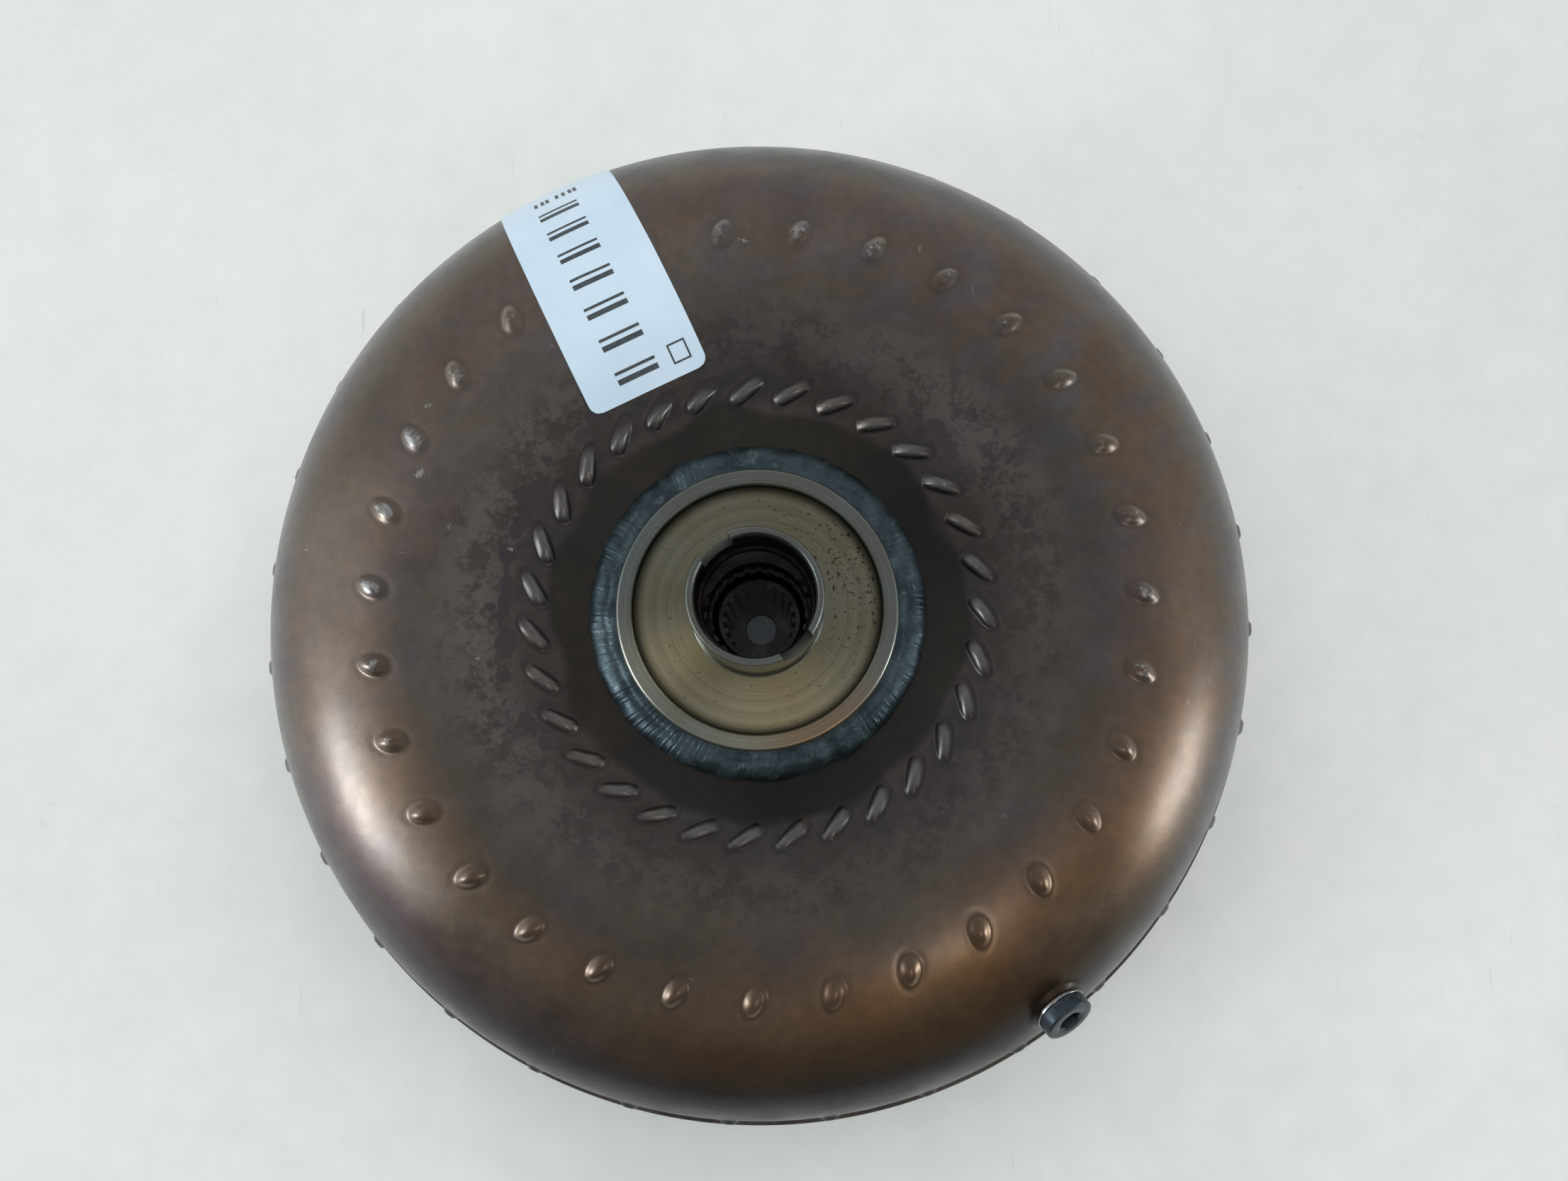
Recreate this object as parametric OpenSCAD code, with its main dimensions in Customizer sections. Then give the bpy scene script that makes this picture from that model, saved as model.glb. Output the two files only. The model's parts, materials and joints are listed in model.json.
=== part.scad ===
// Hydrodynamic torque converter with lock-up clutch, torsional damper and one-way stator clutch.
// The spin axis is Z. Z = 0 is the plane of the flexplate pads, on the engine side; +Z points to
// the transmission. All sizes are in millimetres.

/* [Housing] */
// Outer diameter of the impeller shell
shell_d = 290; // [288:0.5:292]
// Wall of the impeller shell
shell_t = 3.5; // [3:0.1:4]
// Height of the dome's crest above the pads
crest_z = 117.5; // [117:0.1:119]
// Wall of the front cover
cover_t = 4; // [3.5:0.1:4.5]
// Height of the flexplate pads
pad_h = 10; // [9:0.5:10]
// Pitch circle of the flexplate bolts
pad_pcd = 230; // [228:1:232]
// Number of flexplate pads
pad_count = 6; // [3, 4, 6]
// Radius of the tapped hole in each pad (M10)
pad_hole_r = 4.25; // [4.2:0.05:4.4]

/* [Hub] */
// Outer radius of the pump drive tube
hub_r = 17; // [16.8:0.1:17.2]
// Bore radius of the pump drive tube
hub_bore_r = 14.9; // [14.8:0.05:15]
// Bore radius of the stator support bush
bush_r = 13.8; // [13.7:0.05:13.9]
// Height of the tube's tip above the pads
hub_tip_z = 143; // [140:0.5:146]
// Width of the pump drive slots
slot_w = 9.2; // [8:0.1:10]
// Depth of the pump drive slots
slot_h = 8; // [6:0.5:9]
// Direction of the slots, degrees
slot_angle = 130; // [0:1:180]

/* [Fluid wheels] */
// Number of impeller blades
impeller_blade_n = 31; // [27:1:33]
// Number of turbine blades
turbine_blade_n = 29; // [25:1:31]
// Sheet thickness of the blades
blade_t = 1; // [0.8:0.1:1.2]
// Number of stator vanes
vane_n = 17; // [13:1:19]

/* [One-way clutch] */
// Running radius of the inner race
race_r = 20; // [19.9:0.05:20]
// Number of rollers
roller_n = 10; // [8, 10]
// Number of teeth in the stator support spline
race_teeth = 24; // [20:1:28]

/* [Lock-up clutch and damper] */
// Number of damper springs
spring_n = 6; // [4, 6]
// Angle that one spring spans, degrees
spring_span = 43; // [40:1:44]
// Turns of one damper spring
spring_turns = 9; // [7:1:10]
// Running radius of the piston on the turbine hub
piston_bore_r = 30.05; // [30.02:0.01:30.08]

/* [Hidden] */
$fn = 96;

eps = 0.05;                     // gap between touching pieces of one body
run = 0.05;                     // running gap between bodies
mid_z = 78;                     // plane where impeller and turbine face each other
rotor_gap = 0.8;                // each wheel stops this far from that plane
guide_lift = 0.2;               // guide ring's rim stops this much further

// Housing radii and heights
shell_r = shell_d / 2;
crest_r = 86;                   // radius of the dome's highest circle
rim_z = 74;                     // height where the dome's wall turns vertical
skirt_z = 59;                   // lower edge of the impeller shell, inside the cover
neck_r = 44;                    // radius where the dome meets the hub plate
neck_z = 108;
lip_z = 67;                     // mouth of the front cover
cover_in_r = shell_r + eps;
cover_out_r = cover_in_r + 5.35;
cover_z = pad_h;                // outer face of the front cover
cover_flat_r = 128;             // end of the cover's flat face
dish_r = 50;                    // centre dish of the cover
dish_z = 16;
dish_edge_r = 62;
weld_leg = 4;                   // closure weld leg

// Impeller hub
flange_z = neck_z - shell_t;    // inner face of the hub flange
recess_z = 114.5;               // floor of the recess round the tube
ring_z = 117.5;                 // top of the machined ring
ring_in_r = 33.2;
ring_out_r = 37.6;
bush_z0 = 108;
bush_z1 = 126;
bead_w = 6.8;                   // hub weld bead
bead_h = 6.4;

// Inner torus
core_r = 97.5;                  // centre of the guide ring's section
core_a = 19;                    // its half width
core_b = 15;                    // its half height
core_t = 1.2;
wheel_gap = 0.25;               // blade edge to shell or guide ring
guide_clear = 1.5;              // extra room round the guide ring's two ends

// Turbine
turb_rim_r = 139.5;
turb_rim_z = 76;
turb_t = 2;
turb_crest_z = 40;              // front of the turbine shell's crest
turb_flat_r = 50;
turb_flat_z = 50;               // front of the turbine shell's riveted flat

// Blade paths: angle in degrees at each radius
IMPELLER_PATH = [[60, 11.8], [103, 2.5], [145, -0.6]];
TURBINE_PATH = [[60, -20], [100, -6], [140, 0]];
IMPELLER_STEPS = [63, 78, 92, 106, 123, 140];
TURBINE_STEPS = [63, 78, 92, 106, 121, 136];
inner_edge_r = 79;              // blade's inner edge starts here on the guide ring
inner_edge_z = 9;               // and this far from the middle plane
inner_edge_slope = 1.17;

// Dimples pressed over the blade tabs: radius, length, width, lean from the radial direction
DIMPLES = [[60.6, 10.5, 4.2, 54], [102.7, 9, 5.2, 19]];
dimple_h = 1.6;
rim_bump_z = 80.3;
rim_bump_h = 11;
rim_bump_w = 5;

// Stator and one-way clutch
clutch_bore_r = 35;
clutch_z0 = 69;
clutch_z1 = 87;
washer_t = 2.5;
groove_r = 36.2;
snap_z = 90;
snap_t = 1.6;
stator_z0 = 62;
stator_z1 = 94;
stator_hub_r = 50;
stator_flow_r = 54;
stator_ring_r = 75;
stator_ring_t = 2.5;
vane_z0 = 68;
vane_z1 = 88;
roller_r = 3.6;
roller_pos_r = race_r + 0.03 + roller_r;
race_z0 = 64;
race_z1 = 104;
race_spline_z = 93;             // spline from here to the race's rear face
race_root_r = 14;
race_tip_r = 12.8;
race_plain_r = 13.4;

// Needle thrust bearings
bearing_in_r = 23;
bearing_out_r = 32;
bearing_race_t = 1;
needle_r = 1.45;
needle_len = 6;
needle_n = 24;
needle_pos_r = 27.5;
bearing_h = 5;
front_bearing_z = 57;
rear_bearing_z = flange_z - bearing_h;

// Turbine hub
nose_r = 12.4;
nose_z = 92;
hub_front_z = 22;
hub_flange_z0 = 52;
hub_flange_z1 = 57;
hub_flange_r = 48;
seat_r = 34;                    // step that centres driven plate and turbine shell
slide_r = 30;                   // piston runs here
seal_z0 = 27;
seal_z1 = 29;
seal_r = 28;
turb_root_r = 10.4;
turb_tip_r = 9.4;
turb_teeth = 20;
turb_spline_z = 66;
plug_r = 4.9;
rivet_pos_r = 41;
rivet_n = 12;

// Lock-up clutch and damper
lining_z = cover_z + cover_t + 1.1;
lining_t = 1.5;
piston_t = 3;
piston_z = lining_z + lining_t;
piston_rim_r = 124.5;
piston_dish_z = 22;
spring_pos_r = 112;
spring_z = 27.1;
coil_r = 5.3;
wire_r = 1.45;
driven_z = 34.2;
driven_t = 3;
driven_r = 120.5;

// Drain plug, square to the dome's surface
drain_angle = -52.5;
drain_tilt = 38;
drain_t = 32;                   // place on the dome's elliptical arc
drain_seat = 0.3;
plug_head_r = 7.35;
plug_head_h = 4.1;

// ---- Profile helpers: points are [radius, height] ----

function arc_pts(c, a, b, t0, t1, n) =
    [for (i = [0:n]) let (t = t0 + (t1 - t0) * i / n) [c[0] + a * cos(t), c[1] + b * sin(t)]];

function rise(u) = (1 - cos(180 * u)) / 2;

function blend_pts(p, q, n) =
    [for (i = [1:n - 1]) let (u = i / n) [p[0] + (q[0] - p[0]) * u, p[1] + (q[1] - p[1]) * rise(u)]];

function flip(pts) = [for (i = [len(pts) - 1:-1:0]) pts[i]];

// Dome surface, inset by d: rim to crest to neck
function dome_pts(d, n) = concat(
    [[shell_r - d, skirt_z]],
    arc_pts([crest_r, rim_z], shell_r - crest_r - d, crest_z - rim_z - d, 0, 90, n),
    blend_pts([crest_r, crest_z - d], [neck_r, neck_z - d], 6),
    [[neck_r, neck_z - d], [ring_out_r + eps, neck_z - d]]);

// Turbine shell surface, inset by d: rim to crest to riveted flat
function bowl_pts(d, n) = concat(
    [[turb_rim_r - d, mid_z - rotor_gap]],
    arc_pts([crest_r, turb_rim_z], turb_rim_r - crest_r - d, turb_crest_z + d - turb_rim_z, 0, 90, n),
    blend_pts([crest_r, turb_crest_z + d], [turb_flat_r, turb_flat_z + d], 6),
    [[turb_flat_r, turb_flat_z + d], [seat_r + eps, turb_flat_z + d]]);

function bow(r, c, a) = sqrt(max(0, 1 - pow((r - c) / a, 2)));

function dome_in_z(r) = r >= crest_r
    ? rim_z + (crest_z - rim_z - shell_t) * bow(r, crest_r, shell_r - crest_r - shell_t)
    : neck_z - shell_t + (crest_z - neck_z) * rise((r - neck_r) / (crest_r - neck_r));

function bowl_in_z(r) = r >= crest_r
    ? turb_rim_z - (turb_rim_z - turb_crest_z - turb_t) * bow(r, crest_r, turb_rim_r - crest_r - turb_t)
    : turb_flat_z + turb_t - (turb_flat_z - turb_crest_z) * rise((r - turb_flat_r) / (crest_r - turb_flat_r));

// Distance from the middle plane to the blade's edge on the guide ring side
function core_edge(r) = r > inner_edge_r
    ? max(rotor_gap, core_b * bow(r, core_r, core_a + guide_clear) + wheel_gap + guide_lift)
    : inner_edge_z + (inner_edge_r - r) * inner_edge_slope;

function polar(r, a) = [r * cos(a), r * sin(a)];

// ---- Shared solids ----

module ring(r_in, r_out, z0, z1) {
    rotate_extrude()
        translate([r_in, z0])
            square([r_out - r_in, z1 - z0]);
}

module around(n, start = 0) {
    for (i = [0:n - 1])
        rotate([0, 0, start + i * 360 / n])
            children();
}

// One flat panel of a blade between radii ra and rb, from its core edge to its shell edge
module blade_panel(path, ra, rb, side) {
    p = polar(ra, lookup(ra, path));
    q = polar(rb, lookup(rb, path));
    span = norm(q - p);
    lap = blade_t / 2 / span;
    steps = 3;
    s = [for (i = [0:steps]) -lap + (1 + 2 * lap) * i / steps];
    r = [for (u = s) norm(p + (q - p) * u)];
    shell_edge = [for (i = [0:steps])
        [s[i] * span, side > 0 ? dome_in_z(r[i]) - wheel_gap : bowl_in_z(r[i]) + wheel_gap]];
    guide_edge = [for (i = [0:steps]) [s[i] * span, mid_z + side * core_edge(r[i])]];
    translate([p[0], p[1], 0])
        rotate([0, 0, atan2(q[1] - p[1], q[0] - p[0])])
            rotate([90, 0, 0])
                translate([0, 0, -blade_t / 2])
                    linear_extrude(blade_t)
                        polygon(concat(shell_edge, flip(guide_edge)));
}

module blades(path, radii, side, n) {
    around(n)
        union() {
            for (i = [0:len(radii) - 2])
                blade_panel(path, radii[i], radii[i + 1], side);
        }
}

module core_ring(side) {
    lift = side * (rotor_gap + guide_lift);
    rotate_extrude()
        translate([0, mid_z + lift])
            polygon(concat(
                arc_pts([core_r, 0], core_a, side * (core_b - rotor_gap), 0, 180, 14),
                flip(arc_pts([core_r, 0], core_a - core_t, side * (core_b - rotor_gap - core_t), 0, 180, 14))));
}

// Bore with straight-sided teeth
module spline_bore(root_r, tip_r, teeth, z0, z1) {
    tooth_w = PI * tip_r / teeth;
    translate([0, 0, z0])
        linear_extrude(z1 - z0)
            difference() {
                circle(r = root_r);
                around(teeth)
                    translate([tip_r, -tooth_w / 2])
                        square([root_r, tooth_w]);
            }
}

module needle_cage_at(z) {
    translate([0, 0, z + bearing_h / 2 - 1])
        linear_extrude(2)
            difference() {
                circle(r = bearing_out_r - 0.2);
                circle(r = bearing_in_r + 0.2);
                around(needle_n)
                    translate([needle_pos_r, 0])
                        square([needle_len + 0.2, 2 * needle_r + 0.2], center = true);
            }
}

module needles_at(z) {
    around(needle_n)
        translate([needle_pos_r - needle_len / 2, 0, z + bearing_h / 2])
            rotate([0, 90, 0])
                cylinder(r = needle_r, h = needle_len, $fn = 24);
}

// Domed rivet: shank between z0 and z1 with a low head at each end that has a head
module rivet(r, head_r, head_h, z0, z1, front_head) {
    translate([0, 0, z0])
        cylinder(r = r, h = z1 - z0, $fn = 32);
    translate([0, 0, z1])
        cylinder(r1 = head_r, r2 = head_r * 0.7, h = head_h, $fn = 32);
    if (front_head)
        translate([0, 0, z0 - head_h])
            cylinder(r1 = head_r * 0.7, r2 = head_r, h = head_h, $fn = 32);
}

// Puts children on the dome with +Z along the drain plug's axis
module at_drain() {
    rotate([0, 0, drain_angle])
        translate([
            crest_r + (shell_r - crest_r) * cos(drain_t),
            0,
            rim_z + (crest_z - rim_z) * sin(drain_t)])
            rotate([0, 90 - drain_tilt, 0])
                children();
}

// ---- Housing ----

module front_cover() {
    corner = cover_out_r - cover_flat_r;
    color("#3c3632")
        rotate_extrude()
            polygon(concat(
                [[0, dish_z], [dish_r, dish_z], [dish_edge_r, cover_z]],
                arc_pts([cover_flat_r, cover_z + corner], corner, corner, -90, 0, 8),
                [[cover_out_r, lip_z], [cover_in_r, lip_z]],
                arc_pts([cover_flat_r, cover_z + corner], cover_in_r - cover_flat_r, corner - cover_t, 0, -90, 8),
                [[dish_edge_r + 1.5, cover_z + cover_t], [dish_r + 1.5, dish_z + cover_t], [0, dish_z + cover_t]]));
}

module pilot_boss() {
    pilot_r = 20;
    tip_z = 3;
    color("#8b8680")
        rotate_extrude()
            polygon([
                [0, tip_z + 5], [8, tip_z + 5], [10, tip_z], [pilot_r - 1, tip_z],
                [pilot_r, tip_z + 1], [pilot_r, dish_z - eps], [0, dish_z - eps]]);
}

module flexplate_pads() {
    pad_r = 13;
    color("#7d7872")
        around(pad_count, 30)
            translate([pad_pcd / 2, 0, 0])
                difference() {
                    union() {
                        translate([0, 0, 1])
                            cylinder(r = pad_r, h = pad_h - 1 - eps);
                        cylinder(r1 = pad_r - 1, r2 = pad_r, h = 1);
                    }
                    translate([0, 0, -1])
                        cylinder(r = pad_hole_r, h = pad_h + 2);
                }
}

module balance_weight() {
    color("#6a655f")
        rotate([0, 0, 200])
            translate([84, -12, cover_z - 3])
                cube([9, 24, 3 - eps]);
}

module closure_weld() {
    base = [cover_in_r + 0.02, lip_z + eps];
    color("#2e2b29")
        rotate_extrude()
            polygon(concat([base], arc_pts(base, weld_leg, weld_leg, 0, 90, 5)));
}

// One ring of long dimples, each lying on the dome's slope and leaning from the radial direction
module dimple_ring(spec) {
    r = spec[0];
    lean = spec[3];
    slope = atan((dome_in_z(r + 1) - dome_in_z(r - 1)) / 2);
    around(impeller_blade_n, lookup(r, IMPELLER_PATH))
        translate([r, 0, dome_in_z(r) + shell_t])
            rotate([0, -slope, 0])
                rotate([0, 0, -lean])
                    translate([-spec[1] / 2, -spec[2] / 2, -2])
                        cube([spec[1], spec[2], 2 + dimple_h]);
}

module impeller_shell() {
    color("#4b3f37")
        difference() {
            union() {
                rotate_extrude()
                    polygon(concat(dome_pts(0, 10), flip(dome_pts(shell_t, 10))));
                dimple_ring(DIMPLES[0]);
                dimple_ring(DIMPLES[1]);
                around(impeller_blade_n, lookup(shell_r, IMPELLER_PATH))
                    translate([shell_r - 2, -rim_bump_w / 2, rim_bump_z - rim_bump_h / 2])
                        cube([3.4, rim_bump_w, rim_bump_h]);
                at_drain()
                    translate([0, 0, -2])
                        cylinder(r = plug_head_r + 0.5, h = 2 + drain_seat);
            }
            at_drain()
                translate([0, 0, -8])
                    cylinder(r = 6, h = 12);
        }
}

module impeller_blades() {
    color("#9a958c")
        blades(IMPELLER_PATH, IMPELLER_STEPS, 1, impeller_blade_n);
}

module impeller_core_ring() {
    color("#a09a90")
        core_ring(1);
}

module impeller_hub() {
    chamfer = 0.8;
    color("#a39d92")
        difference() {
            rotate_extrude()
                polygon(concat(
                    [[hub_bore_r, flange_z], [ring_out_r, flange_z], [ring_out_r, ring_z - 0.9]],
                    [[ring_out_r - 0.6, ring_z], [ring_in_r + 0.4, ring_z], [ring_in_r, ring_z - 0.4]],
                    [[ring_in_r, recess_z]],
                    arc_pts([hub_r + 1, recess_z + 1], 1, 1, 270, 180, 4),
                    [[hub_r, hub_tip_z - chamfer], [hub_r - chamfer * 0.6, hub_tip_z]],
                    [[hub_bore_r + chamfer * 0.6, hub_tip_z], [hub_bore_r, hub_tip_z - chamfer]]));
            rotate([0, 0, slot_angle])
                translate([-2 * hub_r, -slot_w / 2, hub_tip_z - slot_h])
                    cube([4 * hub_r, slot_w, slot_h + 1]);
        }
}

module hub_weld() {
    base = [ring_out_r + 0.02, neck_z + eps];
    color("#4c565c")
        rotate_extrude()
            polygon(concat([base], arc_pts(base, bead_w, bead_h, 0, 90, 8)));
}

module hub_bushing() {
    color("#8c7a55")
        rotate_extrude()
            polygon([
                [bush_r, bush_z0 + 0.6], [bush_r + 0.6, bush_z0], [hub_bore_r - 0.01, bush_z0],
                [hub_bore_r - 0.01, bush_z1], [bush_r + 0.6, bush_z1], [bush_r, bush_z1 - 0.6]]);
}

module drain_boss() {
    color("#77716a")
        at_drain()
            rotate_extrude()
                polygon([
                    [pad_hole_r, -11], [8.4, -11], [8.4, -6.5], [5.95, -6.5],
                    [5.95, drain_seat - 0.1], [pad_hole_r, drain_seat - 0.1]]);
}

module drain_plug() {
    head_z = drain_seat + 1 + 0.04;
    socket_af = 6;
    color("#23262a")
        at_drain()
            difference() {
                rotate_extrude()
                    polygon([
                        [0, -9], [3.6, -9], [4.2, -8.4], [4.2, head_z], [plug_head_r, head_z],
                        [plug_head_r, head_z + plug_head_h - 0.5],
                        [plug_head_r - 0.5, head_z + plug_head_h], [0, head_z + plug_head_h]]);
                translate([0, 0, head_z + plug_head_h - 3])
                    cylinder(r = socket_af / sqrt(3), h = 4, $fn = 6);
            }
}

module drain_plug_washer() {
    color("#b9b4aa")
        at_drain()
            ring(4.3, plug_head_r + 0.15, drain_seat + 0.02, drain_seat + 1.02);
}

// ---- One-way clutch and stator ----

module clutch_inner_race() {
    color("#6f6a62")
        difference() {
            ring(race_tip_r - 1, race_r, race_z0, race_z1);
            ring(0, race_plain_r, race_z0 - 1, race_spline_z);
            spline_bore(race_root_r, race_tip_r, race_teeth, race_spline_z - 0.5, race_z1 + 1);
        }
}

module stator_vane() {
    height = vane_z1 - vane_z0;
    sweep = 7;                  // how far the vane leans round over its height
    thick = 3.4;
    steps = 5;
    line = [for (i = [0:steps]) let (u = i / steps) [sweep * u * u, height * (u - 0.5)]];
    body = [for (i = [0:steps]) let (u = i / steps) thick * (0.25 + sin(180 * pow(u, 0.7)) * 0.75) / 2];
    translate([stator_flow_r - 1.5, 0, mid_z])
        rotate([90, 0, 90])
            linear_extrude(stator_ring_r - stator_flow_r + 3)
                polygon(concat(
                    [for (i = [0:steps]) [line[i][0] + body[i] - 2, line[i][1]]],
                    [for (i = [steps:-1:0]) [line[i][0] - body[i] - 2, line[i][1]]]));
}

module stator_wheel() {
    color("#b7b9ba") {
        union() {
            rotate_extrude()
                polygon([
                    [bearing_in_r + 1, stator_z0], [stator_hub_r, stator_z0],
                    [stator_flow_r, vane_z0 - 1], [stator_flow_r, vane_z1 + 1],
                    [stator_hub_r, stator_z1], [clutch_bore_r, stator_z1],
                    [clutch_bore_r, snap_z + snap_t], [groove_r, snap_z + snap_t],
                    [groove_r, snap_z], [clutch_bore_r, snap_z],
                    [clutch_bore_r, clutch_z0 - washer_t], [bearing_in_r + 1, clutch_z0 - washer_t]]);
            ring(stator_ring_r, stator_ring_r + stator_ring_t, vane_z0 - 0.5, vane_z1 + 0.5);
            around(vane_n)
                stator_vane();
        }
    }
}

module clutch_outer_race() {
    color("#7b766e")
        translate([0, 0, clutch_z0])
            linear_extrude(clutch_z1 - clutch_z0)
                difference() {
                    circle(r = clutch_bore_r - 0.03);
                    circle(r = race_r + 0.4);
                    around(roller_n) {
                        translate([roller_pos_r + 0.05, 0])
                            circle(r = roller_r + 0.12, $fn = 48);
                        translate([race_r, 0])
                            square([5.6, 8.8]);
                    }
                }
}

module clutch_rollers() {
    color("#d0d0ce")
        around(roller_n)
            translate([roller_pos_r, 0, clutch_z0 + 1])
                cylinder(r = roller_r, h = clutch_z1 - clutch_z0 - 2, $fn = 48);
}

module clutch_springs() {
    folds = 5;
    sheet = 0.4;
    function fold_pt(i) = [i % 2 == 0 ? race_r + 1.4 : race_r + 5, 3.95 + i * 0.85];
    color("#c9c4b4")
        around(roller_n)
            translate([0, 0, clutch_z0 + 3])
                linear_extrude(12)
                    union() {
                        for (i = [0:folds - 1])
                            polygon([
                                fold_pt(i), fold_pt(i + 1),
                                fold_pt(i + 1) + [0, sheet], fold_pt(i) + [0, sheet]]);
                    }
}

module front_end_washer() {
    color("#a8a294")
        ring(race_r + run, clutch_bore_r - eps, clutch_z0 - washer_t + 0.01, clutch_z0 - 0.01);
}

module rear_end_cap() {
    color("#a8a294")
        rotate_extrude()
            polygon([
                [race_r + run, clutch_z1 + 0.01], [clutch_bore_r - eps, clutch_z1 + 0.01],
                [clutch_bore_r - eps, snap_z - 0.03], [bearing_out_r + 0.4, snap_z - 0.03],
                [bearing_out_r + 0.4, rear_bearing_z], [race_r + 1, rear_bearing_z],
                [race_r + 1, snap_z], [race_r + run, snap_z - 1]]);
}

module stator_snap_ring() {
    gap_angle = 14;
    color("#5b5853")
        rotate([0, 0, gap_angle / 2])
            rotate_extrude(angle = 360 - gap_angle)
                translate([clutch_bore_r - 1.6, snap_z + 0.03])
                    square([groove_r - clutch_bore_r + 1.55, snap_t - 0.06]);
}

module rear_race_outer() {
    color("#c3c1bc")
        ring(bearing_in_r, bearing_out_r, flange_z - bearing_race_t, flange_z - 0.01);
}

module rear_race_inner() {
    color("#c3c1bc")
        ring(bearing_in_r, bearing_out_r, rear_bearing_z + 0.01, rear_bearing_z + bearing_race_t);
}

module rear_needle_cage() {
    color("#8f8a80")
        needle_cage_at(rear_bearing_z);
}

module rear_needles() {
    color("#dcdcda")
        needles_at(rear_bearing_z);
}

module front_race_outer() {
    color("#c3c1bc")
        ring(bearing_in_r, bearing_out_r, front_bearing_z + 0.01, front_bearing_z + bearing_race_t);
}

module front_race_inner() {
    top = front_bearing_z + bearing_h;
    color("#c3c1bc")
        ring(bearing_in_r + 1, bearing_out_r, top - bearing_race_t, top - 0.01);
}

module front_needle_cage() {
    color("#8f8a80")
        needle_cage_at(front_bearing_z);
}

module front_needles() {
    color("#dcdcda")
        needles_at(front_bearing_z);
}

// ---- Turbine ----

module turbine_shell() {
    color("#8a847a")
        difference() {
            rotate_extrude()
                polygon(concat(bowl_pts(0, 10), flip(bowl_pts(turb_t, 10))));
            around(rivet_n)
                translate([rivet_pos_r, 0, turb_flat_z - 1])
                    cylinder(r = 3.05, h = turb_t + 2, $fn = 32);
        }
}

module turbine_blades() {
    color("#9a958c")
        blades(TURBINE_PATH, TURBINE_STEPS, -1, turbine_blade_n);
}

module turbine_core_ring() {
    color("#a09a90")
        core_ring(-1);
}

module turbine_hub() {
    color("#74706a")
        difference() {
            rotate_extrude()
                polygon([
                    [9, hub_front_z], [slide_r - 0.5, hub_front_z], [slide_r, hub_front_z + 0.5],
                    [slide_r, seal_z0], [seal_r, seal_z0], [seal_r, seal_z1], [slide_r, seal_z1],
                    [slide_r, hub_flange_z0 - 6], [seat_r, hub_flange_z0 - 6],
                    [seat_r, hub_flange_z0], [hub_flange_r, hub_flange_z0],
                    [hub_flange_r, hub_flange_z1], [nose_r + 1, hub_flange_z1],
                    [nose_r, hub_flange_z1 + 1], [nose_r, nose_z - 0.8], [nose_r - 0.8, nose_z],
                    [turb_tip_r - 0.4, nose_z], [turb_tip_r - 0.4, turb_spline_z],
                    [plug_r + 0.02, turb_spline_z], [plug_r + 0.02, 58], [9, 58]]);
            spline_bore(turb_root_r, turb_tip_r, turb_teeth, turb_spline_z, nose_z + 1);
            around(rivet_n)
                translate([rivet_pos_r, 0, hub_flange_z0 - 1])
                    cylinder(r = 3.05, h = 8, $fn = 32);
        }
}

module turbine_hub_plug() {
    color("#8d959c")
        rotate_extrude()
            polygon([[0, 62.8], [plug_r - 0.8, 62.8], [plug_r - 0.8, 60], [plug_r, 60], [plug_r, 63.4], [plug_r - 0.3, 63.8], [0, 63.8]]);
}

module turbine_rivets() {
    color("#8f8b84")
        around(rivet_n)
            translate([rivet_pos_r, 0, 0])
                rivet(3, 5, 2, turb_flat_z - driven_t, hub_flange_z1, true);
}

module damper_driven_plate() {
    tab_span = 8;
    tab_r0 = 108.5;
    tab_r1 = 115.5;
    tab_z = 22.5;
    window_r = 86;
    color("#938d82")
        difference() {
            union() {
                rotate_extrude()
                    polygon([
                        [seat_r + eps, turb_flat_z - driven_t], [47, turb_flat_z - driven_t],
                        [64, driven_z], [driven_r, driven_z], [driven_r, driven_z + driven_t],
                        [66, driven_z + driven_t], [49, turb_flat_z - 0.01],
                        [seat_r + eps, turb_flat_z - 0.01]]);
                around(spring_n, -tab_span / 2)
                    rotate_extrude(angle = tab_span)
                        translate([tab_r0, tab_z])
                            square([tab_r1 - tab_r0, driven_z + 1 - tab_z]);
            }
            around(rivet_n)
                translate([rivet_pos_r, 0, turb_flat_z - driven_t - 1])
                    cylinder(r = 3.05, h = driven_t + 2, $fn = 32);
            around(spring_n, 30)
                translate([window_r, 0, driven_z - 1])
                    cylinder(r = 9, h = driven_t + 2);
        }
}

module cover_thrust_washer() {
    grooves = 6;
    z0 = dish_z + cover_t + run;
    color("#c0a15a")
        difference() {
            ring(14, 28, z0, hub_front_z - 0.01);
            around(grooves)
                translate([10, -1.5, z0 - 1])
                    cube([22, 3, 1.6]);
        }
}

module piston_seal_ring() {
    color("#3a3a3a")
        ring(seal_r + 0.15, slide_r + 0.02, seal_z0 + 0.05, seal_z1 - 0.05);
}

// ---- Damper springs and lock-up piston ----

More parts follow.
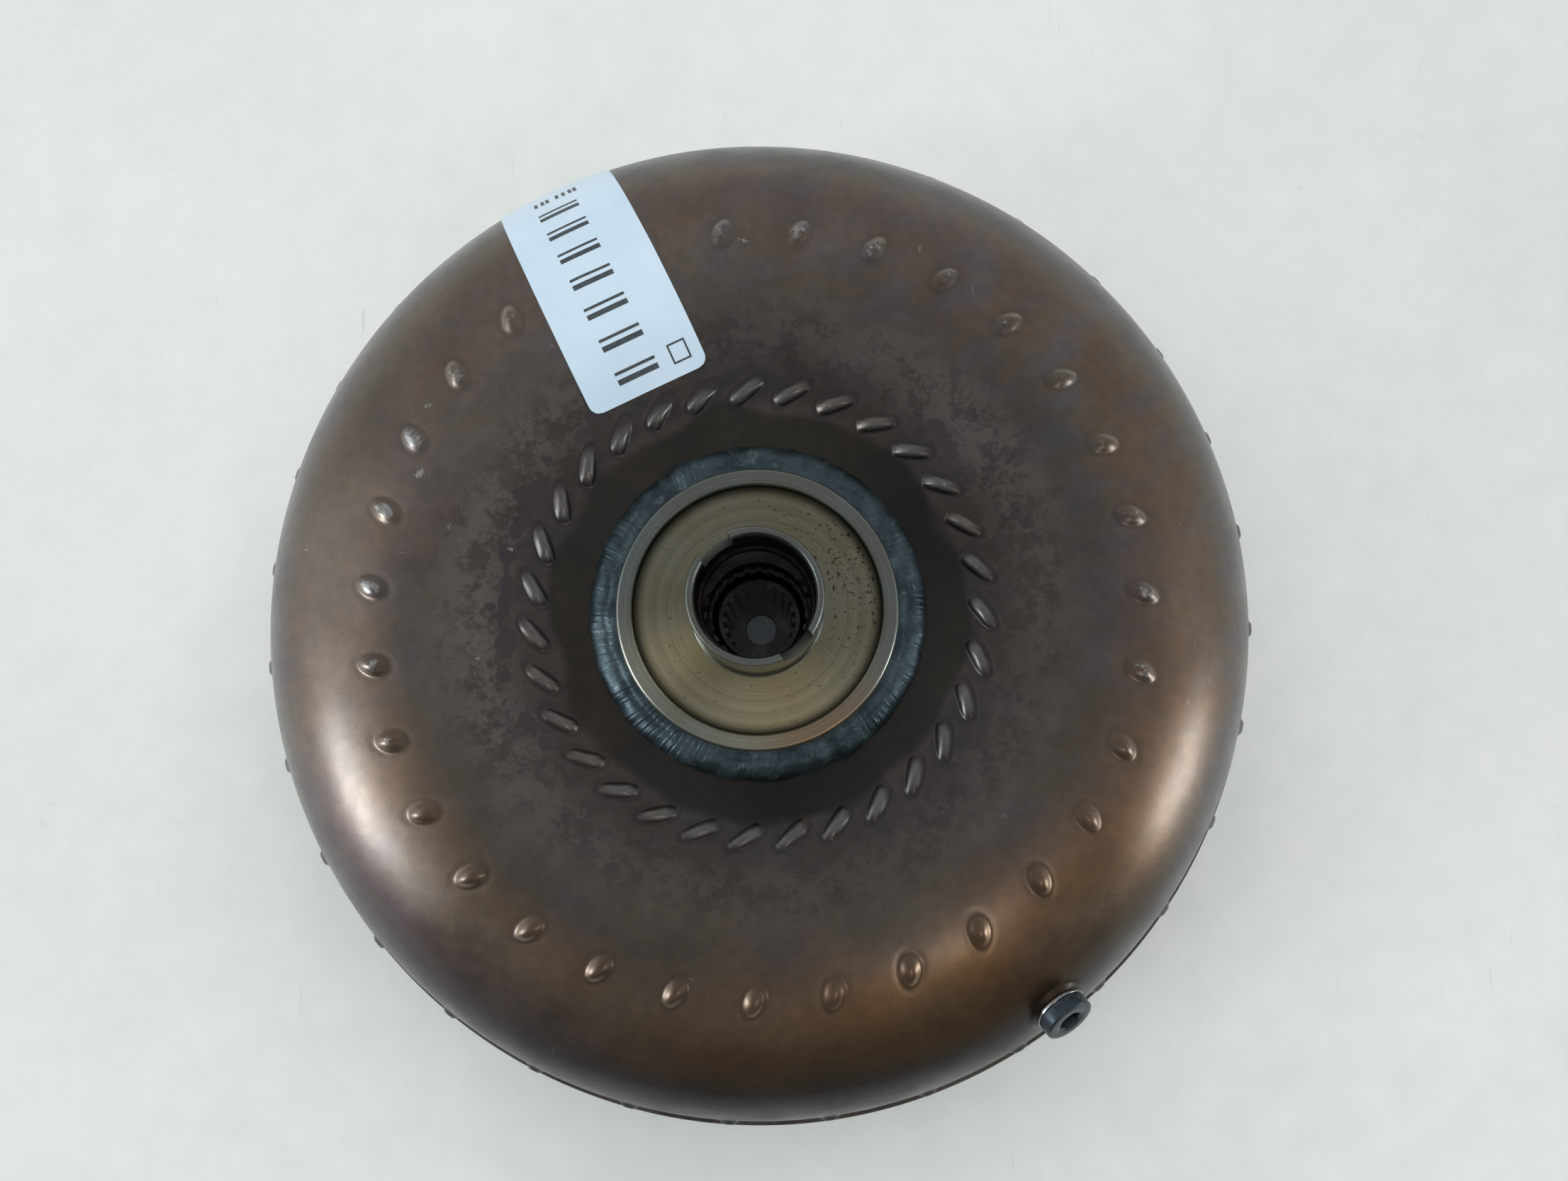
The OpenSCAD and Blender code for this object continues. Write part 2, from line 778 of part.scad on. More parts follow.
// One coil spring bent along the damper's circle, as a swept tube
module arc_spring() {
    sides = 5;
    per_turn = 8;
    n = spring_turns * per_turn;
    pts = [for (i = [0:n], k = [0:sides - 1])
        let (a = spring_span * (i / n - 0.5) * (1 - 2 * wire_r / (coil_r * spring_turns)),
             ph = 360 * i / per_turn,
             w = 360 * k / sides,
             out = coil_r + wire_r * cos(w),
             r = spring_pos_r + out * cos(ph),
             along = wire_r * sin(w))
        [r * cos(a) - along * sin(a), r * sin(a) + along * cos(a), spring_z + out * sin(ph)]];
    low = [for (i = [0:n - 1], k = [0:sides - 1]) let (m = (k + 1) % sides)
        [i * sides + k, (i + 1) * sides + k, (i + 1) * sides + m]];
    high = [for (i = [0:n - 1], k = [0:sides - 1]) let (m = (k + 1) % sides)
        [i * sides + k, (i + 1) * sides + m, i * sides + m]];
    ends = [for (k = [1:sides - 2], e = [0, 1])
        e == 0 ? [0, k, k + 1] : [n * sides, n * sides + k + 1, n * sides + k]];
    polyhedron(points = pts, faces = concat(low, high, ends), convexity = 10);
}

module damper_springs() {
    color("#4d6b57")
        around(spring_n, 180 / spring_n)
            arc_spring();
}

module lockup_piston() {
    rim_t = 3;
    stop_span = 15;
    color("#857f75")
        difference() {
            union() {
                rotate_extrude()
                    polygon([
                        [piston_bore_r, piston_dish_z], [dish_r + 3, piston_dish_z],
                        [dish_edge_r + 6, piston_z], [piston_rim_r - 2, piston_z],
                        [piston_rim_r, piston_z + 2], [piston_rim_r, driven_z + driven_t],
                        [piston_rim_r - rim_t, driven_z + driven_t],
                        [piston_rim_r - rim_t, piston_z + piston_t],
                        [dish_edge_r + 7, piston_z + piston_t],
                        [dish_r + 4, piston_dish_z + piston_t], [seat_r, piston_dish_z + piston_t],
                        [seat_r, 38], [piston_bore_r, 38]]);
                around(spring_n, -stop_span / 2)
                    rotate_extrude(angle = stop_span)
                        translate([117, piston_z + 1])
                            square([5.5, driven_z - piston_z - 2]);
            }
            around(rivet_n)
                translate([rivet_pos_r * 2, 0, piston_z - 1])
                    cylinder(r = 2.55, h = piston_t + 2, $fn = 32);
        }
}

module friction_lining() {
    grooves = 12;
    color("#6b5a3c")
        difference() {
            ring(104, 126 - 3, lining_z, piston_z - 0.01);
            around(grooves, 7)
                translate([100, -1, lining_z - 1])
                    cube([30, 2, 1.6]);
        }
}

module spring_retainer() {
    retainer_t = 2;
    z0 = piston_z + piston_t + 0.01;
    stop_span = 15;
    color("#8c867b")
        difference() {
            union() {
                ring(76, 104, z0, z0 + retainer_t);
                around(spring_n, -stop_span / 2)
                    rotate_extrude(angle = stop_span)
                        translate([101, z0])
                            square([6, driven_z - z0 - 1.2]);
            }
            around(rivet_n)
                translate([rivet_pos_r * 2, 0, z0 - 1])
                    cylinder(r = 2.55, h = retainer_t + 2, $fn = 32);
        }
}

module retainer_rivets() {
    color("#8f8b84")
        around(rivet_n)
            translate([rivet_pos_r * 2, 0, 0])
                rivet(2.5, 4.2, 1.6, piston_z + 0.2, piston_z + piston_t + 2.01, false);
}

front_cover();
pilot_boss();
flexplate_pads();
balance_weight();
closure_weld();
impeller_shell();
impeller_blades();
impeller_core_ring();
impeller_hub();
hub_weld();
hub_bushing();
drain_boss();
drain_plug();
drain_plug_washer();
rear_race_outer();
clutch_inner_race();
stator_wheel();
clutch_outer_race();
clutch_rollers();
clutch_springs();
front_end_washer();
rear_end_cap();
stator_snap_ring();
rear_race_inner();
rear_needle_cage();
rear_needles();
front_race_inner();
front_needle_cage();
front_needles();
turbine_shell();
turbine_blades();
turbine_core_ring();
turbine_hub();
turbine_hub_plug();
turbine_rivets();
damper_driven_plate();
front_race_outer();
cover_thrust_washer();
piston_seal_ring();
damper_springs();
lockup_piston();
friction_lining();
spring_retainer();
retainer_rivets();
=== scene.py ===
import json
import math

import bmesh
import bpy
import numpy as np
from mathutils import Euler, Matrix, Vector


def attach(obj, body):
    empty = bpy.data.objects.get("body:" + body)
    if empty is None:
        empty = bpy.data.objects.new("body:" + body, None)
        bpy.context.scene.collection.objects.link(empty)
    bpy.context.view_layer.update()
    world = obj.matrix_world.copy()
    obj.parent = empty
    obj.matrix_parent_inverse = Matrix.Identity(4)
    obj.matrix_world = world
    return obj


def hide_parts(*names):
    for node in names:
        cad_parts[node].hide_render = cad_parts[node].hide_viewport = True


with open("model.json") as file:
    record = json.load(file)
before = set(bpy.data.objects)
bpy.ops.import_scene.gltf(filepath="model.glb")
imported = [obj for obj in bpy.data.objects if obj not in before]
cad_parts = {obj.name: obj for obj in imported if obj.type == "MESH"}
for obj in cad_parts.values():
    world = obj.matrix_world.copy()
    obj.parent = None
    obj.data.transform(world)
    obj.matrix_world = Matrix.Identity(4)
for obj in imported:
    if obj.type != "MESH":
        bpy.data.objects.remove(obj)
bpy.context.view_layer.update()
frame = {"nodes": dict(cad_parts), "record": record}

nodes = frame["nodes"]

MM = 0.001
TAU = 2 * math.pi
STEP = TAU / 31  # the impeller has 31 blades, so its dimples repeat this often

# ---------- dimensions, in millimetres
SHELL_R, SHELL_T, SKIRT_Z = 145.0, 3.5, 59.0
CREST_R, CREST_Z, RIM_Z = 86.0, 117.5, 74.0
NECK_R, NECK_Z = 44.0, 108.0
FLANGE_Z, RECESS_Z, RING_Z, TIP_Z = 104.5, 114.5, 117.5, 143.0
BORE_R, TUBE_R, RING_IN_R, RING_OUT_R = 14.9, 17.0, 33.2, 37.6
COVER_IN_R, COVER_OUT_R, LIP_Z = 145.05, 150.4, 67.0
# radius, angle of the first one, half length, half width, lean from the radial direction
INNER_DIMPLES = (60.6, math.radians(11.67), 5.4, 2.2, math.radians(54))
MID_DIMPLES = (102.7, math.radians(2.52), 4.7, 2.9, math.radians(19))
RIM_BUMPS = (math.radians(-0.6), 80.3)
DRAIN_ANGLE, DRAIN_TILT, DRAIN_T = math.radians(-52.5), math.radians(38), math.radians(32)
LABEL_ANGLE, LABEL_HALF, LABEL_IN_R, LABEL_OUT_Z = math.radians(115.7), 17.2, 66.5, 86.6
FILM_TOP, FILM_LOW = 0.30, 0.16  # above the dome
SLOT_ANGLE, SLOT_W, SLOT_H = math.radians(130), 9.2, 8.0
HUB_BEAD_W, HUB_BEAD_H, SEAM_BEAD = 8.2, 6.0, 3.85
COVER_BEND_R, COVER_FLOOR_Z, COVER_T = 128.0, 10.0, 4.0
# the drain plug stands on a seat raised a little from the dome, with its washer in between
SEAT_Z, WASHER_T, PLUG_HEAD_H, PLUG_HEAD_R, PLUG_THREAD_R = 0.3, 1.04, 4.1, 7.35, 4.2
PLUG_LENGTH, HEX_AF, HEX_DEPTH, WASHER_IN_R, WASHER_OUT_R = 8.9, 6.0, 2.9, 4.3, 7.5

# ---------- small helpers


def lin(r, g, b):
    """A colour named in sRGB, 0 to 255, as linear light."""
    c = np.array([r, g, b], float) / 255
    return np.where(c <= 0.04045, c / 12.92, ((c + 0.055) / 1.055) ** 2.4)


def step(lo, hi, x):
    t = np.clip((x - lo) / (hi - lo), 0, 1)
    return t * t * (3 - 2 * t)


def bump(x, centre, width):
    return np.exp(-(((x - centre) / width) ** 2))


def wrap(a):
    return (a + math.pi) % TAU - math.pi


def lobe(a, centre, width):
    """1 at the angle centre, gone about two widths away; both in degrees."""
    return np.exp(-((np.abs(wrap(a - math.radians(centre))) / math.radians(width)) ** 2))


def to_nearest(a, first):
    """Angle to the nearest of the 31 places that start at the angle first."""
    return (a - first + STEP / 2) % STEP - STEP / 2


def blend(c, tone, weight):
    """Colours c moved toward tone, by one weight for each point."""
    w = weight[..., None]
    return c * (1 - w) + tone * w


def polar(r, a, z):
    """A grid of points from radius, angle and height."""
    r, a, z = np.broadcast_arrays(r, a, z)
    return np.stack([r * np.cos(a), r * np.sin(a), z], axis=2)


def waves(x, y, size, seed, count=14):
    """Smooth noise from seeded plane waves about `size` long, roughly -1 to 1."""
    rng = np.random.default_rng(seed)
    out = np.zeros_like(x, dtype=float)
    for _ in range(count):
        a, k, p = rng.uniform(0, TAU), TAU / (size * rng.uniform(0.6, 1.8)), rng.uniform(0, TAU)
        out += np.cos(k * (x * math.cos(a) + y * math.sin(a)) + p)
    return out / math.sqrt(count)


def new_mesh(name, verts, quads):
    me = bpy.data.meshes.new(name)
    me.vertices.add(len(verts))
    me.vertices.foreach_set("co", np.asarray(verts, np.float32).ravel())
    quads = np.asarray(quads, np.int32)
    me.loops.add(quads.size)
    me.loops.foreach_set("vertex_index", quads.ravel())
    me.polygons.add(len(quads))
    me.polygons.foreach_set("loop_start", np.arange(0, quads.size, quads.shape[1], dtype=np.int32))
    me.update(calc_edges=True)
    me.validate()
    me.shade_smooth()
    return me


def grid_quads(n, k, wrap_n=True, wrap_k=True):
    """Quads of an n by k grid of vertices."""
    i, j = np.meshgrid(np.arange(n if wrap_n else n - 1), np.arange(k if wrap_k else k - 1), indexing="ij")
    i, j = i.ravel(), j.ravel()
    i1, j1 = (i + 1) % n, (j + 1) % k
    return np.stack([i * k + j, i1 * k + j, i1 * k + j1, i * k + j1], axis=1)


def rounded(profile, radius, steps):
    """A closed profile with every corner rounded; radius is one number or one per point."""
    pts = [Vector(p) for p in profile]
    radii = radius if isinstance(radius, (list, tuple)) else [radius] * len(pts)
    out = []
    for i, p in enumerate(pts):
        a, b = pts[i - 1] - p, pts[(i + 1) % len(pts)] - p
        reach = min(radii[i], a.length * 0.45, b.length * 0.45)
        if reach < 1e-4:
            out.append(p[:])
            continue
        q, r = p + a.normalized() * reach, p + b.normalized() * reach
        for s in range(steps + 1):
            t = s / steps
            out.append((q * (1 - t) ** 2 + p * (2 * t * (1 - t)) + r * t * t)[:])
    return out


def counter_clockwise(profile):
    p = np.array(profile, float)
    q = np.roll(p, -1, axis=0)
    area = np.sum(p[:, 0] * q[:, 1] - q[:, 0] * p[:, 1])
    return p if area > 0 else p[::-1].copy()


def lathe(name, profile, segments, push=None, sharp=32, place=None):
    """A closed profile of (radius, height) turned round Z. push(R, Z, A) may move the grid of points."""
    p = counter_clockwise(profile)
    A, R = np.meshgrid(np.arange(segments) * TAU / segments, p[:, 0], indexing="ij")
    Z = np.broadcast_to(p[:, 1], R.shape)
    if push:
        R, Z = push(R, Z, A)
    me = new_mesh(name, polar(R, A, Z).reshape(-1, 3) * MM, grid_quads(segments, len(p)))
    if place is not None:
        me.transform(place)
    me.set_sharp_from_angle(angle=math.radians(sharp))
    return me


def weld_axis(me):
    """Merges the points that a profile put on the axis."""
    bm = bmesh.new()
    bm.from_mesh(me)
    bmesh.ops.remove_doubles(bm, verts=bm.verts, dist=1e-7)
    bmesh.ops.dissolve_degenerate(bm, dist=1e-8, edges=bm.edges)
    bm.to_mesh(me)
    bm.free()
    me.update()
    return me


def add_object(name, data):
    obj = bpy.data.objects.new(name, data)
    bpy.context.scene.collection.objects.link(obj)
    return obj


def piece(name, me, body, slot, material, *stands_for):
    obj = add_object(name, me)
    me.materials.append(material)
    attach(obj, body)
    if stands_for:
        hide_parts(*stands_for)
    return obj


def paint(me, name, values):
    """One float or colour for each vertex."""
    values = np.asarray(values, np.float32)
    if values.ndim == 1:
        me.attributes.new(name, "FLOAT", "POINT").data.foreach_set("value", values)
    else:
        rgba = np.ones((len(values), 4), np.float32)
        rgba[:, :3] = values
        me.attributes.new(name, "FLOAT_COLOR", "POINT").data.foreach_set("color", rgba.ravel())


# ---------- material nodes


class Nodes:
    """Short names for shader nodes, in the tree of a material or a world."""

    def __init__(self, owner):
        owner.use_nodes = True
        self.tree = owner.node_tree

    def put(self, socket, value):
        if isinstance(value, bpy.types.NodeSocket):
            self.tree.links.new(value, socket)
        elif isinstance(value, (tuple, list, np.ndarray)) and len(value) == 3 and socket.type == "RGBA":
            socket.default_value = (*[float(v) for v in value], 1)
        else:
            socket.default_value = value

    def node(self, kind, out=0, props=(), **inputs):
        n = self.tree.nodes.new("ShaderNode" + kind)
        for k, v in props:
            setattr(n, k, v)
        for k, v in inputs.items():
            key = int(k[1:]) if k[0] == "i" and k[1:].isdigit() else k.replace("_", " ")
            self.put(n.inputs[key], v)
        return n.outputs[out]

    def math(self, op, a, b=0.0):
        return self.node("Math", props=[("operation", op)], i0=a, i1=b)

    def mul(self, a, b):
        return self.math("MULTIPLY", a, b)

    def add(self, a, b):
        return self.math("ADD", a, b)

    def ramp(self, x, lo, hi, a=0.0, b=1.0):
        """x from lo to hi becomes a to b, eased and clamped."""
        return self.node("MapRange", props=[("interpolation_type", "SMOOTHSTEP")],
                         i0=x, i1=lo, i2=hi, i3=a, i4=b)


class Graph(Nodes):
    """What every material here uses."""

    def __init__(self, name):
        self.mat = bpy.data.materials.new(name)
        super().__init__(self.mat)
        self.tree.nodes.clear()
        out = self.tree.nodes.new("ShaderNodeOutputMaterial")
        self.bsdf = self.tree.nodes.new("ShaderNodeBsdfPrincipled")
        self.tree.links.new(self.bsdf.outputs[0], out.inputs[0])
        self.place = self.node("TexCoord", "Object")

    def scaled(self, scale, turn=(0, 0, 0)):
        return self.node("Mapping", i0=self.place, i2=Euler(turn), i3=Vector(scale))

    def noise(self, scale, detail=4, rough=0.55, vector=None, colour=False):
        return self.node("TexNoise", int(colour), Vector=vector or self.place,
                         Scale=scale, Detail=detail, Roughness=rough)

    def cells(self, scale, vector):
        return self.node("TexVoronoi", Vector=vector, Scale=scale)

    def mix(self, t, a, b, blend="MIX"):
        return self.node("Mix", 2, [("data_type", "RGBA"), ("blend_type", blend)], i0=t, i6=a, i7=b)

    def tones(self, x, lo, hi, a, b):
        """Colour a where x is below lo, b where it is above hi."""
        return self.mix(self.ramp(x, lo, hi), a, b)

    def over(self, colour, weight, most, tone):
        """tone laid over a colour, by at most a share of it."""
        return self.mix(self.mul(weight, most), colour, tone)

    def attr(self, name, colour=False):
        return self.node("Attribute", "Color" if colour else "Fac", [("attribute_name", name)])

    def radius(self):
        """Distance from the Z axis, in metres."""
        return self.node("VectorMath", "Value", [("operation", "LENGTH")], i0=self.scaled((1, 1, 0)))

    def turned(self, along, scale, detail):
        """Noise that only changes along one length, as tool marks do."""
        return self.node("TexNoise", props=[("noise_dimensions", "1D")], W=along, Scale=scale, Detail=detail,
                         Roughness=0.6)

    def bump(self, height, depth, normal=None):
        under = {"Normal": normal} if normal else {}
        return self.node("Bump", Strength=1.0, Distance=depth, Height=height, **under)

    def finish(self, colour, rough, metallic, normal, **more):
        more.update(Base_Color=colour, Roughness=rough, Metallic=metallic, Normal=normal)
        for k, v in more.items():
            self.put(self.bsdf.inputs[k.replace("_", " ")], v)
        return self.mat


def shell_steel():
    """Heat-tinted pressed steel: painted tint with painted light and shade in it, patina mottling, wear on
    the dimples, scratches, specks and painted shade round the dimples' feet.
    """
    g = Graph("heat_tinted_steel")
    tint = g.attr("Tint", True)
    patina, wear, dark = g.attr("Patina"), g.attr("Wear"), g.attr("Groove")
    cloud = g.noise(34, 5, 0.6)
    fine = g.noise(260, 6, 0.62)
    colour = g.mix(g.ramp(cloud, 0.35, 0.7), tint, g.mix(1.0, tint, (1.08, 0.99, 0.90), "MULTIPLY"))
    grain = g.tones(fine, 0.25, 0.75, (0.86, 0.86, 0.87), (1.12, 1.1, 1.08))
    colour = g.mix(1.0, colour, grain, "MULTIPLY")
    # fine light patina with dark islands in it
    patch = g.add(g.noise(150, 9, 0.72), g.mul(g.noise(640, 5, 0.65), 0.35))
    patch = g.mul(g.ramp(patch, 0.60, 0.74), patina)
    colour = g.over(colour, patch, 0.78, (0.255, 0.218, 0.192))
    # round plum stains where the patina starts
    warp = g.node("Mapping", i0=g.mix(0.0022, g.place, g.noise(300, 3, 0.6, colour=True), "ADD"))
    drop = g.math("MINIMUM", g.cells(150, warp), g.mul(g.cells(95, warp), 0.92))
    stain = g.ramp(g.add(drop, g.mul(g.attr("Stain"), -0.56)), 0.03, -0.02)
    colour = g.over(colour, stain, 0.9, (0.105, 0.080, 0.092))
    # dark specks
    speck = g.ramp(g.noise(1300, 2, 0.5), 0.70, 0.76)
    colour = g.over(colour, speck, 0.55, (0.05, 0.045, 0.045))
    # scratches in two directions, in clusters
    s1 = g.noise(1.0, 2, 0.5, g.scaled((2600, 95, 300), (0, 0, 0.55)))
    s2 = g.noise(1.0, 2, 0.5, g.scaled((2400, 80, 300), (0, 0, -0.6)))
    where = g.ramp(g.noise(48, 2, 0.5), 0.56, 0.66)
    scratch = g.mul(g.math("MAXIMUM", g.ramp(s1, 0.735, 0.77), g.ramp(s2, 0.735, 0.77)), where)
    scratch = g.mul(scratch, g.attr("Handled"))
    # worn metal on top of the dimples
    rubbed = g.ramp(g.add(g.mul(wear, 0.8), g.mul(g.add(g.noise(560, 6, 0.75), -0.5), 2.4)), 0.5, 0.95)
    streak = g.noise(1.0, 5, 0.75, g.scaled((2300, 620, 900), (0, 0, 0.5)))
    nick = g.ramp(g.add(g.mul(g.attr("Nicks"), 0.72), g.mul(g.add(streak, -0.5), 1.9)), 0.5, 0.72)
    bright = g.math("MAXIMUM", g.math("MAXIMUM", rubbed, nick), g.mul(scratch, 0.8))
    colour = g.over(colour, bright, 0.85, (0.62, 0.62, 0.60))
    # painted shade in the crease round the foot of each dimple
    colour = g.over(colour, dark, 0.6, (0.03, 0.027, 0.027))
    rough = g.ramp(g.noise(60, 5, 0.6), 0.25, 0.75, 0.29, 0.43)
    rough = g.add(rough, g.mul(patch, 0.14))
    rough = g.math("SUBTRACT", rough, g.mul(bright, 0.12))
    height = g.add(g.mul(g.noise(900, 3, 0.5), 0.5), g.mul(patch, 0.5))
    normal = g.bump(height, 0.00006)
    normal = g.bump(g.noise(30, 2, 0.5), 0.0004, normal)
    return g.finish(colour, rough, 0.93, normal,
                    Coat_Weight=g.attr("Film"), Coat_Roughness=0.26, Coat_IOR=1.6)


def turned_steel(name, light, dark, rough, pits):
    """Turned steel: fine tool marks round the axis, tan oil film, small brown pits."""
    g = Graph(name)
    mark = g.turned(g.radius(), 2600, 4)
    band = g.turned(g.radius(), 320, 2)
    film = g.noise(30, 5, 0.6)
    colour = g.tones(g.add(g.mul(mark, 0.5), g.mul(band, 0.5)), 0.3, 0.7, dark, light)
    colour = g.over(colour, g.ramp(film, 0.4, 0.7), 0.35, (0.30, 0.25, 0.17))
    pit = g.mul(g.ramp(g.noise(620, 3, 0.6), 0.66, 0.71), g.ramp(g.noise(60, 2), 0.4, 0.6))
    colour = g.over(colour, pit, pits, (0.07, 0.045, 0.03))
    r = g.ramp(g.add(g.mul(film, 0.6), g.mul(mark, 0.4)), 0.3, 0.7, rough - 0.05, rough + 0.12)
    height = g.add(mark, g.mul(pit, -2.0))
    return g.finish(colour, r, 1.0, g.bump(height, 0.000018), Anisotropic=0.35)


def hub_steel():
    """The machined hub: bright tube, tan recess floor, grey ring with a blush of copper."""
    g = Graph("hub_machined_steel")
    tint = g.attr("Tint", True)
    mark = g.turned(g.radius(), 2300, 4)
    groove = g.turned(g.radius(), 520, 2)
    film = g.noise(42, 6, 0.62)
    lines = g.add(g.mul(mark, 0.55), g.mul(groove, 0.45))
    lines = g.tones(lines, 0.3, 0.7, (0.86, 0.86, 0.86), (1.12, 1.12, 1.12))
    colour = g.mix(1.0, tint, lines, "MULTIPLY")
    oil = g.tones(film, 0.35, 0.7, (1.06, 1.06, 1.08), (0.9, 0.86, 0.74))
    colour = g.mix(1.0, colour, oil, "MULTIPLY")
    pit = g.mul(g.ramp(g.add(g.noise(760, 3, 0.6), g.mul(g.attr("Pits"), 0.10)), 0.69, 0.735), g.attr("Pits"))
    colour = g.over(colour, pit, 0.8, (0.06, 0.035, 0.02))
    # painted shade under the ring's inner edge and round the tube's root
    dark = g.attr("Groove")
    colour = g.over(colour, dark, 0.9, (0.02, 0.018, 0.016))
    rough = g.ramp(g.add(g.mul(film, 0.7), g.mul(mark, 0.3)), 0.3, 0.7, 0.26, 0.42)
    normal = g.bump(g.add(g.add(mark, g.mul(groove, 1.5)), g.mul(pit, -2.0)), 0.000022)
    return g.finish(colour, rough, 1.0, normal)


def weld_steel(name, base=(0.125, 0.165, 0.180), hot=(0.062, 0.084, 0.098), fleck=0.7):
    """Weld bead: blue-grey oxide, fine ripples across the bead, small spatter pits."""
    g = Graph(name)
    cloud = g.noise(120, 6, 0.65)
    fine = g.noise(900, 4, 0.6)
    colour = g.tones(cloud, 0.36, 0.66, hot, base)
    colour = g.over(colour, g.ramp(g.noise(260, 5, 0.65), 0.55, 0.72), fleck, (0.27, 0.32, 0.33))
    colour = g.over(colour, g.ramp(fine, 0.62, 0.7), 0.6, (0.035, 0.035, 0.04))
    rough = g.ramp(cloud, 0.3, 0.7, 0.34, 0.52)
    return g.finish(colour, rough, 0.95, g.bump(g.add(fine, g.mul(cloud, 0.8)), 0.00012))


def plain_steel(name, tone, second, rough=0.4, metallic=1.0, grain=180, bump=0.00003, turned=0.0, **more):
    """Other metal parts: two tones of grain and oil film, with tool marks where they were turned."""
    g = Graph(name)
    cloud, fine = g.noise(grain * 0.3, 5, 0.6), g.noise(grain * 4, 4, 0.6)
    value = g.add(g.mul(cloud, 0.7), g.mul(fine, 0.3))
    if turned:
        value = g.add(g.mul(value, 1 - turned), g.mul(g.turned(g.radius(), 1800, 4), turned))
    colour = g.tones(value, 0.36, 0.66, tone, second)
    r = g.ramp(g.noise(grain, 4, 0.6), 0.3, 0.7, rough - 0.07, rough + 0.09)
    return g.finish(colour, r, metallic, g.bump(value, bump), **more)


def bore_steel(name, tone, second, reach=0.0152):
    """Steel that is wet with black oil near the bore and cleaner further out."""
    g = Graph(name)
    cloud = g.noise(160, 5, 0.6)
    clean = g.tones(g.turned(g.radius(), 1800, 4), 0.35, 0.65, tone, second)
    wet = g.ramp(g.radius(), reach + 0.0012, reach)
    colour = g.mix(wet, clean, g.tones(cloud, 0.4, 0.7, (0.020, 0.016, 0.012), (0.072, 0.056, 0.040)))
    rough = g.ramp(g.add(wet, g.mul(cloud, 0.2)), 0.2, 1.1, 0.36, 0.15)
    return g.finish(colour, rough, 0.75, g.bump(cloud, 0.00025), Coat_Weight=0.6, Coat_Roughness=0.06)


def friction_paper():
    g = Graph("friction_paper")
    fibre = g.noise(900, 6, 0.7, g.scaled((1, 2.2, 1)))
    colour = g.tones(fibre, 0.35, 0.65, (0.07, 0.042, 0.022), (0.16, 0.10, 0.055))
    return g.finish(colour, g.ramp(fibre, 0.3, 0.7, 0.7, 0.9), 0.0, g.bump(fibre, 0.0001))


def seal_plastic():
    g = Graph("seal_plastic")
    v = g.noise(300, 4, 0.6)
    colour = g.tones(v, 0.35, 0.65, (0.14, 0.09, 0.05), (0.2, 0.13, 0.075))
    return g.finish(colour, g.ramp(v, 0.3, 0.7, 0.36, 0.5), 0.0, g.bump(v, 0.00002))


def label_vinyl():
    """Pale blue-white sticker film with faint grime."""
    g = Graph("label_vinyl")
    paper = g.noise(60, 4, 0.6)
    colour = g.tones(paper, 0.3, 0.7, (0.51, 0.64, 0.75), (0.55, 0.67, 0.78))
    grime = g.ramp(g.noise(1100, 2, 0.5), 0.74, 0.78)
    colour = g.over(colour, grime, 0.25, (0.3, 0.3, 0.28))
    return g.finish(colour, g.ramp(paper, 0.3, 0.7, 0.3, 0.42), 0.0, g.bump(paper, 0.00005), Coat_Weight=0.15)


def label_ink():
    g = Graph("label_ink")
    v = g.noise(900, 4, 0.6)
    colour = g.tones(v, 0.3, 0.7, (0.035, 0.045, 0.05), (0.06, 0.07, 0.075))
    return g.finish(colour, g.ramp(v, 0.3, 0.7, 0.35, 0.5), 0.0, g.bump(v, 0.00001))


def floor_paint():
    """Pale painted board: faint clouds, small scuffs and specks of grime."""
    g = Graph("floor_board")
    cloud = g.noise(5, 5, 0.55)
    fine = g.noise(60, 5, 0.6)
    value = g.add(g.mul(cloud, 0.6), g.mul(fine, 0.4))
    colour = g.tones(value, 0.3, 0.7, (0.65, 0.68, 0.655), (0.74, 0.755, 0.73))
    scuff = g.mul(g.ramp(g.noise(1.0, 2, 0.5, g.scaled((700, 40, 1), (0, 0, 0.4))), 0.7, 0.76),
                  g.ramp(g.noise(14, 2), 0.5, 0.65))
    colour = g.over(colour, scuff, 0.4, (0.42, 0.42, 0.39))
    grime = g.mul(g.ramp(g.noise(150, 6, 0.7), 0.60, 0.72), g.ramp(g.noise(9, 3, 0.6), 0.45, 0.7))
    colour = g.over(colour, grime, 0.3, (0.46, 0.45, 0.40))
    return g.finish(colour, g.ramp(fine, 0.3, 0.7, 0.5, 0.65), 0.0, g.bump(fine, 0.0003))


